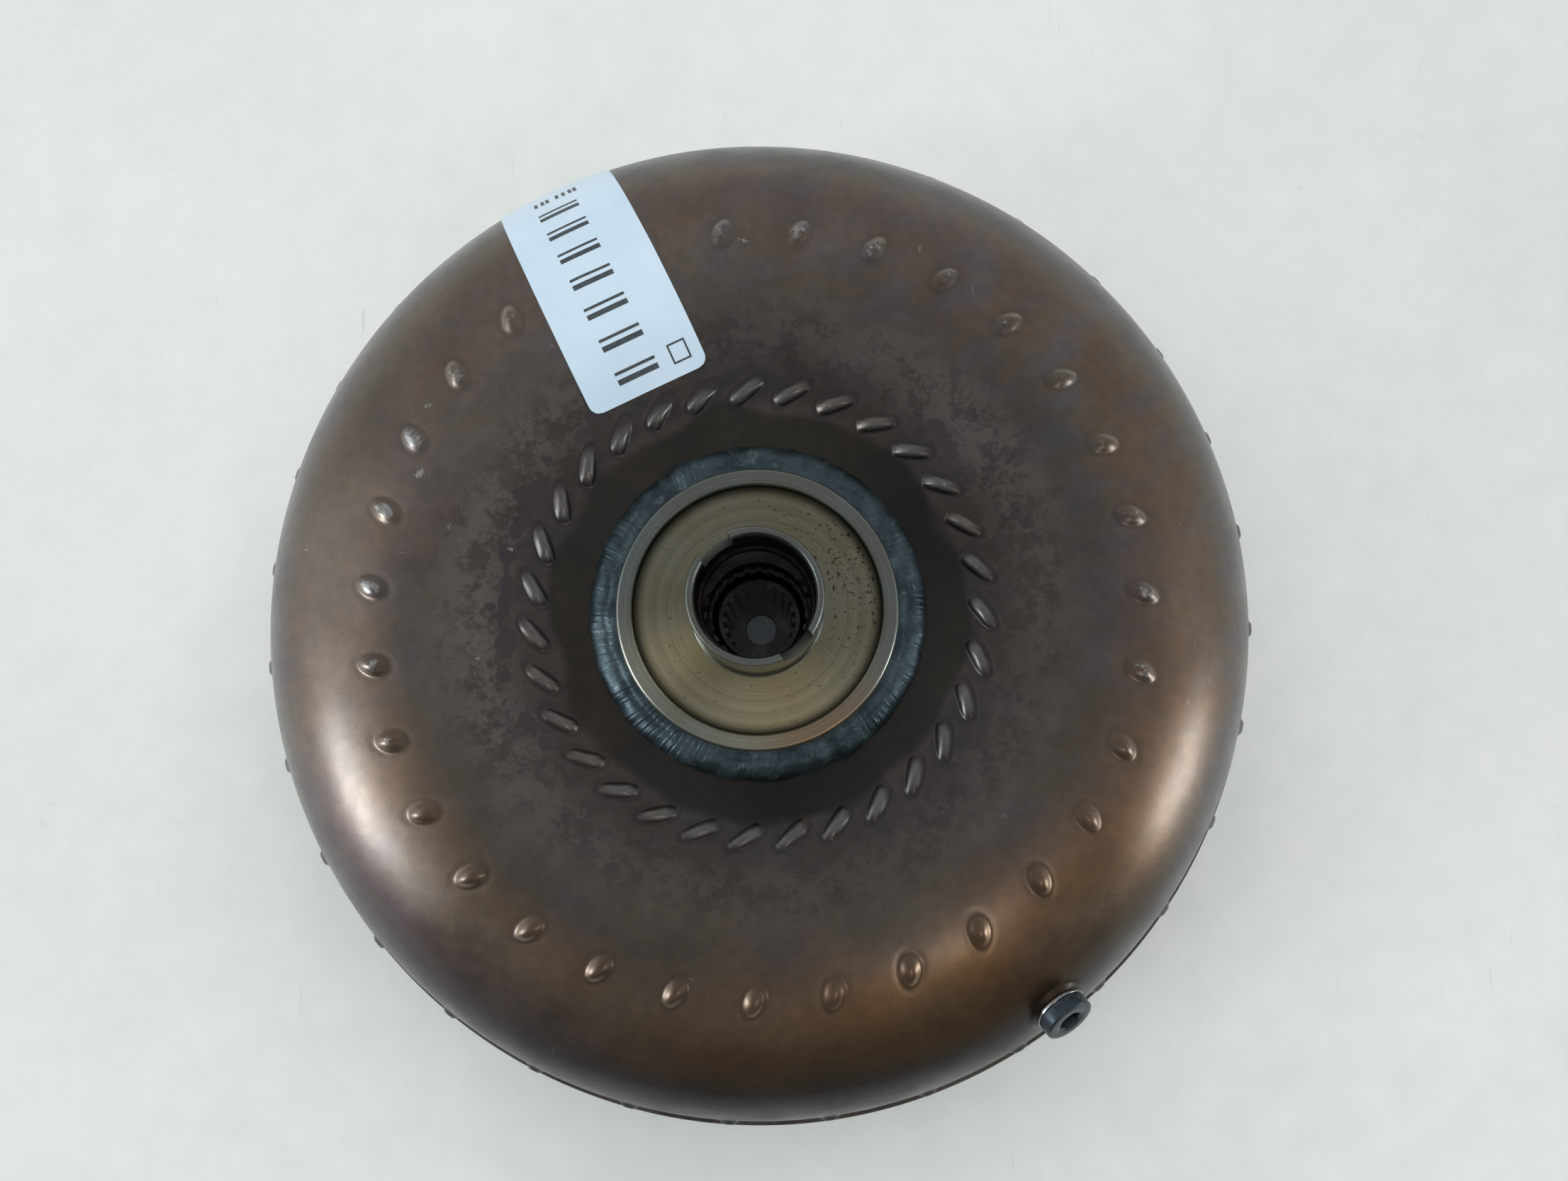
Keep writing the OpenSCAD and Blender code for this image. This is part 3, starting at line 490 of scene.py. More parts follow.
MATS = {
    "heat_tinted_steel": shell_steel(),
    "machined_steel": turned_steel("machined_steel", (0.46, 0.44, 0.40), (0.33, 0.31, 0.28), 0.3, 0.6),
    "weld_steel": weld_steel("weld_steel"),
    "pressed_steel": plain_steel("pressed_steel", (0.20, 0.19, 0.17), (0.30, 0.28, 0.25), 0.38),
    "oily_dark_steel": plain_steel("oily_dark_steel", (0.10, 0.095, 0.085), (0.19, 0.175, 0.155), 0.24,
                                   grain=140, Coat_Weight=0.35, Coat_Roughness=0.12),
    "bearing_steel": plain_steel("bearing_steel", (0.42, 0.41, 0.39), (0.55, 0.54, 0.52), 0.2,
                                 grain=90, turned=0.3),
    "cast_aluminium": plain_steel("cast_aluminium", (0.42, 0.42, 0.42), (0.58, 0.58, 0.575), 0.45, grain=420,
                                  bump=0.00012),
    "bronze": plain_steel("bronze", (0.30, 0.21, 0.11), (0.42, 0.31, 0.17), 0.32, turned=0.4),
    "black_phosphate": plain_steel("black_phosphate", (0.030, 0.034, 0.042), (0.058, 0.066, 0.078), 0.42,
                                   metallic=0.6, grain=500, bump=0.00004),
    "spring_steel": plain_steel("spring_steel", (0.24, 0.22, 0.19), (0.36, 0.33, 0.29), 0.3, grain=300),
    "friction_paper": friction_paper(),
    "seal_plastic": seal_plastic(),
}
slot_of = {part["node"]: part["material_slot"] for part in frame["record"]["subparts"]}


def dress(obj, mat):
    for s in obj.material_slots:
        s.material = mat
    if not obj.material_slots:
        obj.data.materials.append(mat)


for node_name, obj in nodes.items():
    dress(obj, MATS.get(slot_of[node_name], MATS["pressed_steel"]))
for node_name, tones in (("hub_bushing", ((0.30, 0.22, 0.12), (0.40, 0.30, 0.17))),
                         ("clutch_inner_race", ((0.36, 0.35, 0.33), (0.48, 0.47, 0.45))),
                         ("turbine_hub", ((0.30, 0.29, 0.27), (0.42, 0.41, 0.38)))):
    dress(nodes[node_name], bore_steel(node_name + "_steel", *tones))
dress(nodes["turbine_hub_plug"],
      plain_steel("turbine_hub_plug_steel", (0.13, 0.16, 0.18), (0.20, 0.24, 0.26), 0.3, metallic=0.1))

# ---------- camera, floor and light

cam_data = bpy.data.cameras.new("camera")
cam_data.sensor_width = 36
cam_data.lens = 25.29
cam_data.shift_y = 0.0599
cam_data.clip_start, cam_data.clip_end = 0.01, 20
camera = add_object("camera", cam_data)
camera.location = (0.00678, -0.0365, 0.4061)
camera.rotation_euler = (math.radians(3.27), math.radians(-0.05), 0)
bpy.context.scene.camera = camera

floor_half, floor_n = 6.0, 24
gx = np.linspace(-floor_half, floor_half, floor_n)
FX, FY = np.meshgrid(gx, gx, indexing="ij")
floor_verts = np.stack([FX, FY, np.zeros_like(FX)], axis=2).reshape(-1, 3)
floor_me = new_mesh("floor", floor_verts, grid_quads(floor_n, floor_n, False, False))
floor = add_object("floor", floor_me)
floor.data.materials.append(floor_paint())


def studio_world():
    """Soft surround: light toward the far wall, dim overhead and toward the near wall."""
    w = bpy.data.worlds.new("studio")
    bpy.context.scene.world = w
    g = Nodes(w)
    way = g.node("TexCoord", "Generated")
    y, z = (g.node("SeparateXYZ", axis, i0=way) for axis in "YZ")
    far_light = g.mul(g.ramp(z, 0.80, 0.94, 0.36, 0.25), g.ramp(y, -0.6, 0.5))
    near_light = g.mul(g.ramp(z, 0.25, 0.85, 0.11, 0.25), g.ramp(y, -0.6, 0.5, 1.0, 0.0))
    back = g.tree.nodes["Background"]
    back.inputs[0].default_value = (0.90, 0.95, 1.0, 1)
    g.put(back.inputs[1], g.add(far_light, near_light))


studio_world()


def softbox(name, place, aim, width, height, power, colour):
    data = bpy.data.lights.new(name, "AREA")
    data.shape, data.size, data.size_y = "RECTANGLE", width, height
    data.energy, data.color = power, colour
    o = add_object(name, data)
    o.location = place
    o.rotation_euler = (Vector(aim) - Vector(place)).to_track_quat("-Z", "Y").to_euler()
    return o


softbox("left_wall", (-1.62, -0.1, 0.76), (0, 0, 0.1), 1.6, 1.4, 4.3, (0.90, 0.96, 1.0))
softbox("left_window", (-1.64, -0.56, 0.66), (0, 0, 0.1), 0.55, 0.45, 8.0, (0.84, 0.94, 1.0))
softbox("right_wall", (1.65, -0.1, 0.6), (0, 0, 0.1), 1.4, 1.0, 1.0, (0.95, 0.98, 1.0))
softbox("right_window", (1.65, -0.47, 0.38), (0, 0, 0.1), 0.5, 0.4, 5.2, (0.86, 0.95, 1.0))
softbox("near_lamp", (0.62, -0.86, 1.40), (0, 0, 0.1), 0.2, 0.2, 0.75, (1.0, 0.96, 0.88))
# the overhead fill lights the floor and the label; the metal doesn't mirror it
overhead = softbox("overhead_fill", (0.0, 0.9, 2.4), (0, 0.1, 0), 4.2, 3.2, 76, (1.0, 0.995, 0.97))
overhead.visible_glossy = False
bpy.context.scene.view_settings.view_transform = "Standard"

# ---------- impeller shell


def meridian():
    """The dome's outer line from skirt to hub, as close points with their arc length."""
    pts = [(SHELL_R, SKIRT_Z), (SHELL_R, RIM_Z)]
    for i in range(1, 400):
        t = math.pi / 2 * i / 400
        pts.append((CREST_R + (SHELL_R - CREST_R) * math.cos(t), RIM_Z + (CREST_Z - RIM_Z) * math.sin(t)))
    for i in range(0, 301):
        u = i / 300
        fall = (1 - math.cos(math.pi * u)) / 2
        pts.append((CREST_R + (NECK_R - CREST_R) * u, CREST_Z + (NECK_Z - CREST_Z) * fall))
    pts.append((RING_OUT_R + 0.06, NECK_Z))
    p = np.array(pts)
    s = np.concatenate([[0], np.cumsum(np.hypot(*np.diff(p, axis=0).T))])
    return p, s


M_PTS, M_S = meridian()


def on_meridian(s):
    """Radius, height and outward normal at arc length s."""
    r, z = np.interp(s, M_S, M_PTS[:, 0]), np.interp(s, M_S, M_PTS[:, 1])
    e = 0.25
    dr = np.interp(s + e, M_S, M_PTS[:, 0]) - np.interp(s - e, M_S, M_PTS[:, 0])
    dz = np.interp(s + e, M_S, M_PTS[:, 1]) - np.interp(s - e, M_S, M_PTS[:, 1])
    n = np.hypot(dr, dz) + 1e-12
    return r, z, dz / n, -dr / n


def s_at_radius(r):
    """Arc length where the outer line passes radius r."""
    return float(np.interp(-r, -M_PTS[2:, 0], M_S[2:]))


def shell_rows():
    """Arc lengths of the mesh rows, close together where something is pressed into the shell."""
    inner, mid = s_at_radius(INNER_DIMPLES[0]), s_at_radius(MID_DIMPLES[0])
    out, s = [0.0], 0.0
    while s < M_S[-1]:
        gap = 1.6
        gap = min(gap, 0.34 + max(0, abs(s - inner) - 6.5) * 0.25)
        gap = min(gap, 0.42 + max(0, abs(s - mid) - 7) * 0.25)
        gap = min(gap, 0.6 + max(0, abs(s - (RIM_BUMPS[1] - SKIRT_Z)) - 8) * 0.25)
        gap = min(gap, 0.6 + max(0, abs(s - DRAIN_S) - 9) * 0.25)
        s += gap
        out.append(min(s, M_S[-1]))
    return np.array(out)


def oval(s, A, ring, taper, full):
    """Distance from the middle of the nearest dimple, 1 at its foot. taper narrows its outer end,
    and full is 2 for an oval, more for blunter ends."""
    r0, a0, half_l, half_w, lean = ring
    u, v = s_at_radius(r0) - s, r0 * to_nearest(A, a0)
    x = (u * math.cos(lean) - v * math.sin(lean)) / half_l
    y = (u * math.sin(lean) + v * math.cos(lean)) / (half_w * (1 - taper * np.clip(x, -1, 1)))
    return (np.abs(x) ** full + np.abs(y) ** full) ** (1 / full)


DRAIN_BASE = (CREST_R + (SHELL_R - CREST_R) * math.cos(DRAIN_T),
              RIM_Z + (CREST_Z - RIM_Z) * math.sin(DRAIN_T))
DRAIN_S = s_at_radius(DRAIN_BASE[0])
drain_frame = (Matrix.Rotation(DRAIN_ANGLE, 4, "Z")
               @ Matrix.Translation((DRAIN_BASE[0] * MM, 0, DRAIN_BASE[1] * MM))
               @ Matrix.Rotation(math.pi / 2 - DRAIN_TILT, 4, "Y"))

outer_s = shell_rows()
SEGMENTS = 31 * 36
angles = np.arange(SEGMENTS) * TAU / SEGMENTS
S, A = np.meshgrid(outer_s, angles, indexing="xy")
R0, Z0, NR, NZ = on_meridian(S)
X0, Y0 = R0 * np.cos(A), R0 * np.sin(A)

# label footprint: the dimples under it are pressed flatter
label_side = R0 * wrap(A - LABEL_ANGLE)
under_label = step(21, 18.5, np.abs(label_side)) * step(60, 63, R0) * step(145, 143, R0)

d_in = oval(S, A, INNER_DIMPLES, 0.13, 2.7)
d_mid = oval(S, A, MID_DIMPLES, 0.12, 2.0)
crown_in, crown_mid = np.clip(1 - d_in**2, 0, 1), np.clip(1 - d_mid**2, 0, 1)
rise_in = 1.6 * crown_in**0.95
rise_mid = 1.45 * crown_mid**1.25
# the metal is drawn down a little round each dimple
rise_in = rise_in - 0.12 * bump(d_in, 1.25, 0.25)
rise_mid = rise_mid - 0.08 * bump(d_mid, 1.2, 0.25)
vary = 1 + 0.12 * waves(X0, Y0, 40, 5)
db = SHELL_R * to_nearest(A, RIM_BUMPS[0])
rim_rise = 1.38 * step(3.4, 1.2, np.abs(db)) * step(6.3, 3.8, np.abs(Z0 - RIM_BUMPS[1]))
rim_rise = rim_rise * step(143.4, 144.2, R0)
lift = (rise_in + rise_mid * vary) * (1 - 0.72 * under_label) + rim_rise
# a little waviness left by the press
lift = lift + 0.05 * waves(X0, Y0, 55, 11) * step(50, 60, R0) * step(143, 138, R0)
# flat seat round the drain hole
inv = np.array(drain_frame.inverted())
P = polar(R0, A, Z0) * MM
local = P @ inv[:3, :3].T + inv[:3, 3]
flat = step(9.1, 7.8, np.hypot(local[..., 0], local[..., 1]) / MM) * (np.abs(wrap(A - DRAIN_ANGLE)) < 0.2)
P = polar(R0 + NR * lift, A, Z0 + NZ * lift) * MM
axis = np.array((drain_frame.to_3x3() @ Vector((0, 0, 1)))[:])
local = P @ inv[:3, :3].T + inv[:3, 3]
P = P + ((SEAT_Z * MM - local[..., 2]) * flat)[..., None] * axis

# inner surface: the same line, one wall thickness in, coarser
inner_s = np.linspace(M_S[-1], 0, 70)
ri, zi, nri, nzi = on_meridian(inner_s)
ri, zi = ri - nri * SHELL_T, zi - nzi * SHELL_T
ri[-1] = SHELL_R - SHELL_T
grid = np.concatenate([P, polar(ri[None, :], angles[:, None], zi[None, :]) * MM], axis=1)
K = grid.shape[1]
shell_me = new_mesh("impeller_shell_skin", grid.reshape(-1, 3), grid_quads(SEGMENTS, K))
shell_me.set_sharp_from_angle(angle=math.radians(60))


def near(centre, width):
    """How much each point of the shell lies toward an angle."""
    return lobe(A, centre, width)


def tint_field(R, X, Y):
    """Base colour of the shell by place: heat tint, gold arc low right, lavender rim low left, and painted
    light and shade.
    """
    band = lin(66, 62, 55)
    inner = lin(94, 88, 83)
    body = lin(111, 102, 95)
    outer = lin(118, 103, 91)
    rim = lin(116, 109, 108)
    gold = lin(134, 99, 58)
    plum = lin(112, 98, 100)
    grey = lin(112, 110, 110)
    c = np.zeros(R.shape + (3,)) + band
    for edge, width, colour in ((56.5, 1.6, inner), (74, 9, body), (100, 10, outer), (132, 7, rim)):
        c = blend(c, colour, step(edge - width, edge + width, R + 1.5 * waves(X, Y, 30, 3)))
    drift = waves(X, Y, 60, 21)
    # blotches of brown and of lavender grey, strongest on the right and far sides
    blotch = waves(X, Y, 17, 41) + 0.6 * waves(X, Y, 7, 42)
    place = step(78, 92, R) * (0.25 + 0.75 * near(40, 60))
    for sign, tone in ((1, lin(122, 100, 78)), (-1, lin(110, 108, 116))):
        c = blend(c, tone, 0.42 * step(0.15, 1.0, sign * blotch) * place)
    gold_w = (0.95 * near(-62, 42) * bump(R, 112, 17) + 0.22 * near(5, 34) * bump(R, 113, 9)
              + 0.35 * near(-140, 40) * bump(R, 102, 8))
    c = blend(c, gold, np.clip(gold_w * (1 + 0.25 * drift), 0, 1))
    plum_w = (0.8 * near(-140, 35) * bump(R, 128, 8) + 0.35 * near(85, 40) * bump(R, 118, 16)
              + 0.25 * drift * bump(R, 90, 25))
    c = blend(c, plum, np.clip(plum_w, 0, 1))
    grey_w = 0.6 * near(60, 40) * bump(R, 135, 8) + 0.3 * waves(X, Y, 34, 33) * bump(R, 84, 16)
    c = blend(c, grey, np.clip(grey_w, 0, 1))
    c = c * (1 + 0.06 * waves(X, Y, 24, 8))[..., None]
    # painted shade: the rim is painted darker, most of all on the near side, and the slope inside the crest
    # is painted duller too
    rim_w = step(122, 134, R)
    painted_rim_shade = 1 - rim_w * (0.28 + 0.38 * near(80, 50) + 0.62 * near(270, 55))
    painted_rim_shade = painted_rim_shade * (1 - rim_w * (0.32 * near(80, 42) + 0.5 * near(268, 40) + 0.15 * near(25, 30)
                                - 0.25 * near(205, 22)))
    painted_rim_shade = painted_rim_shade * (1 - 0.5 * step(128, 136, R) * near(278, 34))
    painted_rim_shade = painted_rim_shade * (1 - 0.38 * step(108, 124, R) * near(278, 42))
    c = c * np.maximum(painted_rim_shade, 0.11)[..., None]
    # painted light and shade: the crest is painted lighter toward the left and duller toward the right
    c = c * (1 + 0.24 * near(145, 34) * bump(R, 96, 14) + 0.16 * near(105, 25) * bump(R, 102, 12)
             - 0.28 * near(25, 38) * bump(R, 90, 9) - 0.2 * near(250, 30) * bump(R, 92, 10))[..., None]
    # painted shade on the neck where nothing bright is mirrored
    c = c * (1 - step(58, 55, R) * (0.5 * near(30, 26) + 0.5 * near(283, 36)))[..., None]
    # painted shade on the slope inside the crest, least toward the left
    c = c * (1 - 0.28 * step(84, 76, R) * step(55, 60, R) * (1 - 0.8 * near(175, 40)))[..., None]
    return np.clip(c, 0.004, 1)


def paint_shell(name, values, inside=0.0):
    """Paints values from 0 to 1 over the outer grid, and one value on the inner surface."""
    values = np.clip(values, 0, 1)
    rest = np.zeros((SEGMENTS, K - values.shape[1]) + values.shape[2:]) + inside
    paint(shell_me, name, np.concatenate([values, rest], axis=1).reshape((-1,) + values.shape[2:]))


# the dimples' crowns are painted lighter and greyer: part rubbed wear, part painted highlight
wear_and_highlight_in = 0.55 * step(0.15, 0.9, crown_in) * (1 - under_label)
paint_shell("Tint", blend(tint_field(R0, X0, Y0), lin(152, 150, 146), wear_and_highlight_in), lin(90, 86, 80))
patina = bump(R0, 76, 10) * (0.30 + 0.75 * near(172, 48) + 0.35 * near(40, 35))
paint_shell("Patina", patina * step(61, 67, R0))
stain = bump(R0, 67.5, 3.6) * (0.30 + 0.75 * near(172, 50) + 0.35 * near(45, 45)) * step(62.5, 64.5, R0)
paint_shell("Stain", stain)
wear_in = step(0.62, 1.0, crown_in) * (0.30 + 0.3 * near(40, 40) + 0.15 * near(180, 50))
wear_mid = 0.14 + near(165, 38) + 0.6 * near(80, 34) + 0.6 * near(-5, 36)
wear_mid = wear_mid * step(0.25, 0.85, crown_mid)
paint_shell("Wear", (wear_in + wear_mid) * (1 - under_label))
# knocks that left bare metal: radius, angle, length, width, direction
KNOCKS = ((84, 165, 2.2, 1.0, 80), (80.5, 167, 1.2, 1.0, 40), (68, 166, 1.3, 0.9, 20),
          (97, 158, 3.0, 1.6, 60), (104, 148, 2.0, 1.2, 40), (95, 171, 1.6, 0.5, 0),
          (108, 66, 2.2, 0.7, 15), (100, 92, 3.0, 0.6, 70), (118, -12, 2.6, 0.6, 50),
          (116, 12, 2.0, 0.5, -40), (90, 128, 1.4, 0.6, 30), (75, 190, 1.0, 0.5, 10),
          (126, 172, 2.5, 0.5, 10), (98, -100, 1.2, 0.5, 70), (84, -40, 1.2, 0.5, 20))


def knock_field():
    """1 in the middle of each knock, fading to 0 around it."""
    out = np.zeros_like(R0)
    for radius, angle, length, width, lean in KNOCKS:
        u, v = R0 - radius, radius * wrap(A - math.radians(angle))
        c, s = math.cos(math.radians(lean)), math.sin(math.radians(lean))
        out = np.maximum(out, np.exp(-((u * c + v * s) / length) ** 2 - ((v * c - u * s) / width) ** 2))
    return out


paint_shell("Nicks", knock_field())
film = 0.72 - 0.7 * step(116, 130, R0) * (0.5 + 0.5 * near(270, 65)) - 0.3 * step(76, 66, R0)
paint_shell("Film", film, 0.1)
# painted shade in the crease round the foot of each dimple, stronger on the inner ring
paint_shell("Groove", 0.6 * bump(d_in, 1.12, 0.14) + 0.3 * bump(d_mid, 1.1, 0.2))
handled = 0.25 + 0.9 * near(5, 35) * bump(R0, 118, 16) + 0.6 * near(170, 30) * bump(R0, 100, 18)
handled = handled + 0.6 * near(85, 30) * bump(R0, 100, 12)
paint_shell("Handled", handled * step(66, 72, R0))
piece("impeller_shell_skin", shell_me, "housing", "heat_tinted_steel", MATS["heat_tinted_steel"],
      "impeller_shell")

# ---------- impeller hub

hub_profile = rounded(
    [(BORE_R, FLANGE_Z), (RING_OUT_R, FLANGE_Z), (RING_OUT_R, RING_Z - 0.9), (RING_OUT_R - 0.6, RING_Z),
     (RING_IN_R + 0.4, RING_Z), (RING_IN_R, RING_Z - 0.4), (RING_IN_R, RECESS_Z), (TUBE_R + 0.9, RECESS_Z),
     (TUBE_R, RECESS_Z + 0.9), (TUBE_R, TIP_Z - 0.8), (TUBE_R - 0.48, TIP_Z), (BORE_R + 0.48, TIP_Z),
     (BORE_R, TIP_Z - 0.8)],
    [0.2, 0.2, 0.5, 0.5, 0.15, 0.15, 0.5, 0.4, 0.4, 0.2, 0.2, 0.2, 0.2], 4)


def refine(profile, gap):
    """Adds points so that no step of a closed profile is longer than gap."""
    out = []
    for i, p in enumerate(profile):
        q = profile[(i + 1) % len(profile)]
        n = max(1, int(math.ceil(math.hypot(q[0] - p[0], q[1] - p[1]) / gap)))
        out += [(p[0] + (q[0] - p[0]) * k / n, p[1] + (q[1] - p[1]) * k / n) for k in range(n)]
    return out


hub_me = lathe("impeller_hub_turned", refine(hub_profile, 0.9), 360)


def paint_hub(me):
    """Tint with a painted highlight and painted shade in it, pits and painted shade of the hub, worked out
    from where each vertex lies.
    """
    co = np.zeros(len(me.vertices) * 3, np.float32)
    me.vertices.foreach_get("co", co)
    co = co.reshape(-1, 3) / MM
    r, a, z = np.hypot(co[:, 0], co[:, 1]), np.arctan2(co[:, 1], co[:, 0]), co[:, 2]
    tint = np.zeros((len(co), 3)) + lin(150, 154, 150)
    recess = step(TUBE_R + 0.3, TUBE_R + 1.6, r) * step(RING_IN_R + 0.2, RING_IN_R - 0.2, r)
    tint = blend(tint, lin(165, 159, 138), recess)
    floor_w = step(TUBE_R + 0.3, TUBE_R + 2, r)
    # painted highlight: the turned floor fans out brighter toward the near side, and the rest of it is duller
    fan_highlight = lobe(a, -80, 42) + 0.8 * lobe(a, -152, 20)
    tint = tint * (1 + (floor_w * fan_highlight)[:, None] * np.array([0.95, 0.78, 0.50]))
    tint = blend(tint, lin(190, 150, 112), 0.75 * lobe(a, -62, 26) * step(33, 34, r))
    # painted shade: the bore wall is darker below the tip
    tint = blend(tint, lin(52, 47, 40), step(BORE_R + 0.5, BORE_R + 0.1, r) * step(TIP_Z - 1, TIP_Z - 4, z))
    slot_z = TIP_Z - SLOT_H
    in_wall = step(BORE_R - 0.3, BORE_R + 0.1, r) * step(TUBE_R + 0.1, TUBE_R - 0.1, r)
    at_slot = step(slot_z + 1, slot_z + 0.4, z) * step(slot_z - 0.4, slot_z - 0.2, z)
    tint = blend(tint, lin(84, 84, 78), in_wall * at_slot)
    paint(me, "Tint", tint)
    pitted = step(TUBE_R + 1, TUBE_R + 3, r) * step(RING_IN_R, RING_IN_R - 1, r)
    paint(me, "Pits", pitted * (0.6 + 0.5 * lobe(a, 25, 50)))
    # painted shade under the inner edge of the ring and round the root of the tube
    rim_shade = bump(r, RING_IN_R - 0.2, 1.5) * step(RING_Z - 0.7, RECESS_Z + 0.6, z)
    root_shade = 0.5 * bump(r, TUBE_R + 0.6, 0.5) * step(RECESS_Z + 3, RECESS_Z, z)
    paint(me, "Groove", np.clip(rim_shade + root_shade, 0, 1))


paint_hub(hub_me)
MATS["hub"] = hub_steel()
hub = piece("impeller_hub_turned", hub_me, "housing", "machined_steel", MATS["hub"], "impeller_hub")


def box_mesh(name, x, y, z, place):
    v = [(a, b, c) for a in x for b in y for c in z]
    q = [(0, 1, 3, 2), (4, 6, 7, 5), (0, 4, 5, 1), (2, 3, 7, 6), (0, 2, 6, 4), (1, 5, 7, 3)]
    me = new_mesh(name, np.array(v) * MM, q)
    me.transform(place)
    return me


cutter_me = box_mesh("slot_cutter", (-40, 40), (-SLOT_W / 2, SLOT_W / 2), (TIP_Z - SLOT_H, TIP_Z + 2),
                     Matrix.Rotation(SLOT_ANGLE, 4, "Z"))
cutter = add_object("slot_cutter", cutter_me)
cut = hub.modifiers.new("slots", "BOOLEAN")
cut.operation, cut.object, cut.solver = "DIFFERENCE", cutter, "EXACT"
deps = bpy.context.evaluated_depsgraph_get()
cut_me = bpy.data.meshes.new_from_object(hub.evaluated_get(deps), preserve_all_data_layers=True,
                                         depsgraph=deps)
hub.modifiers.clear()
hub.data = cut_me
cut_me.name = "impeller_hub_turned"
cut_me.materials.clear()
cut_me.materials.append(MATS["hub"])
cut_me.polygons.foreach_set("material_index", np.zeros(len(cut_me.polygons), np.int32))
bpy.data.objects.remove(cutter)
for layer in ("Tint", "Pits", "Groove"):
    cut_me.attributes.remove(cut_me.attributes[layer])
paint_hub(cut_me)
cut_me.set_sharp_from_angle(angle=math.radians(32))

# ---------- welds


def bead_push(seed, blobs, ripple, base_r, base_z, reach):
    """Ripples, a furrow and start and stop blobs (angle, width, height) for a bead's outer side."""
    def push(R, Z, A):
        d = np.hypot(R - base_r, Z - base_z)
        outer = step(0.25, 1.0, d / reach)
        x, y = R * np.cos(A), R * np.sin(A)
        slant = A + 0.022 * (R - base_r) / reach
        k = np.sin(slant * base_r * TAU / 1.5 + 0.8 * waves(x, y, 9, seed))
        k2 = np.sin(slant * base_r * TAU / 0.85 + waves(x, y, 7, seed + 1))
        h = ripple * (0.5 * k + 0.35 * k2) * (0.45 + 0.5 * waves(x, y, 14, seed + 2))
        h = h + ripple * 1.1 * waves(x, y, 8, seed + 3)
        # a shallow furrow runs along the bead, nearer the hub
        steep = np.arctan2(Z - base_z, R - base_r)
        h = h - ripple * 2.2 * bump(steep, 1.12 + 0.07 * waves(x, y, 12, seed + 4), 0.13)
        for centre, width, size in blobs:
            h = h + size * np.exp(-((wrap(A - math.radians(centre)) * base_r / width) ** 2))
        h = h * outer
        nr, nz = (R - base_r) / (d + 1e-9), (Z - base_z) / (d + 1e-9)
        return R + nr * h, np.maximum(Z + nz * h, base_z)
    return push


def bead_mesh(name, base_r, base_z, width, height, steps, push):
    """A quarter-round bead in the corner at (base_r, base_z)."""
    turn = np.linspace(0, math.pi / 2, steps)
    line = [(base_r, base_z)] + [(base_r + width * math.cos(t), base_z + height * math.sin(t)) for t in turn]
    return lathe(name, line, 1400, push, sharp=70)


hub_corner = (RING_OUT_R + 0.02, NECK_Z + 0.05)
hub_blobs = [(118, 2.2, 0.7), (124, 1.6, -0.4), (-57, 2.4, 0.6), (-63, 1.8, -0.35)]
weld_me = bead_mesh("hub_weld_bead", *hub_corner, HUB_BEAD_W, HUB_BEAD_H, 26,
                    bead_push(3, hub_blobs, 0.13, *hub_corner, 6.8))
piece("hub_weld_bead", weld_me, "housing", "weld_steel", MATS["weld_steel"], "hub_weld")

seam_corner = (COVER_IN_R + 0.02, LIP_Z + 0.05)
seam_blobs = [(-20, 3, 0.3), (-26, 3, -0.2)]
seam_me = bead_mesh("closure_weld_bead", *seam_corner, SEAM_BEAD, SEAM_BEAD, 12,
                    bead_push(9, seam_blobs, 0.09, *seam_corner, SEAM_BEAD))
MATS["seam_weld"] = weld_steel("seam_weld", (0.040, 0.041, 0.046), (0.022, 0.022, 0.025), 0.25)
piece("closure_weld_bead", seam_me, "housing", "weld_steel", MATS["seam_weld"], "closure_weld")

# ---------- drain plug and its washer


def plug_mesh():
    """Turned head with a hexagon socket: 48 points round, the socket's ring laid on a hexagon."""
    n = 48
    a = np.arange(n) * TAU / n
    hexa = (HEX_AF / 2) / np.cos((a + math.pi / 6) % (math.pi / 3) - math.pi / 6)
    low, under = SEAT_Z - PLUG_LENGTH, SEAT_Z + WASHER_T
    top = under + PLUG_HEAD_H
    r, thread = PLUG_HEAD_R, PLUG_THREAD_R
    rows = [(0, low), (thread - 0.7, low), (thread, low + 0.7), (thread, under), (r - 0.25, under),
            (r, under + 0.26), (r, top - 0.75), (r - 0.1, top - 0.4), (r - 0.4, top - 0.1), (r - 0.75, top),
            (thread, top), (thread - 0.25, top - 0.12), (hexa * 1.04, top - 0.35), (hexa, top - 0.6),
            (hexa, top - HEX_DEPTH), (hexa * 0.9, top - HEX_DEPTH - 0.1), (0, top - HEX_DEPTH - 0.1)]
    radii = np.stack([x * np.ones(n) for x, _ in rows], axis=1)
    verts = polar(radii, a[:, None], np.array([z for _, z in rows])[None, :])
    me = new_mesh("drain_plug_head", verts.reshape(-1, 3) * MM, grid_quads(n, len(rows), True, False))
    weld_axis(me)
    me.shade_smooth()
    me.set_sharp_from_angle(angle=math.radians(28))
    me.transform(drain_frame)
    return me


def phosphate_plug():
    """Smooth blue-black finish, worn bright along the edges."""
    g = Graph("phosphate_plug")
    v = g.noise(420, 4, 0.55)
    colour = g.tones(v, 0.35, 0.65, (0.020, 0.028, 0.038), (0.036, 0.047, 0.060))
    edge = g.node("NewGeometry", "Pointiness")
    worn = g.ramp(g.add(edge, g.mul(g.add(g.noise(1300, 4, 0.7), -0.5), 0.06)), 0.55, 0.62)
    colour = g.over(colour, worn, 0.6, (0.45, 0.45, 0.43))
    return g.finish(colour, g.ramp(v, 0.3, 0.7, 0.28, 0.4), 0.55, g.bump(v, 0.00002))


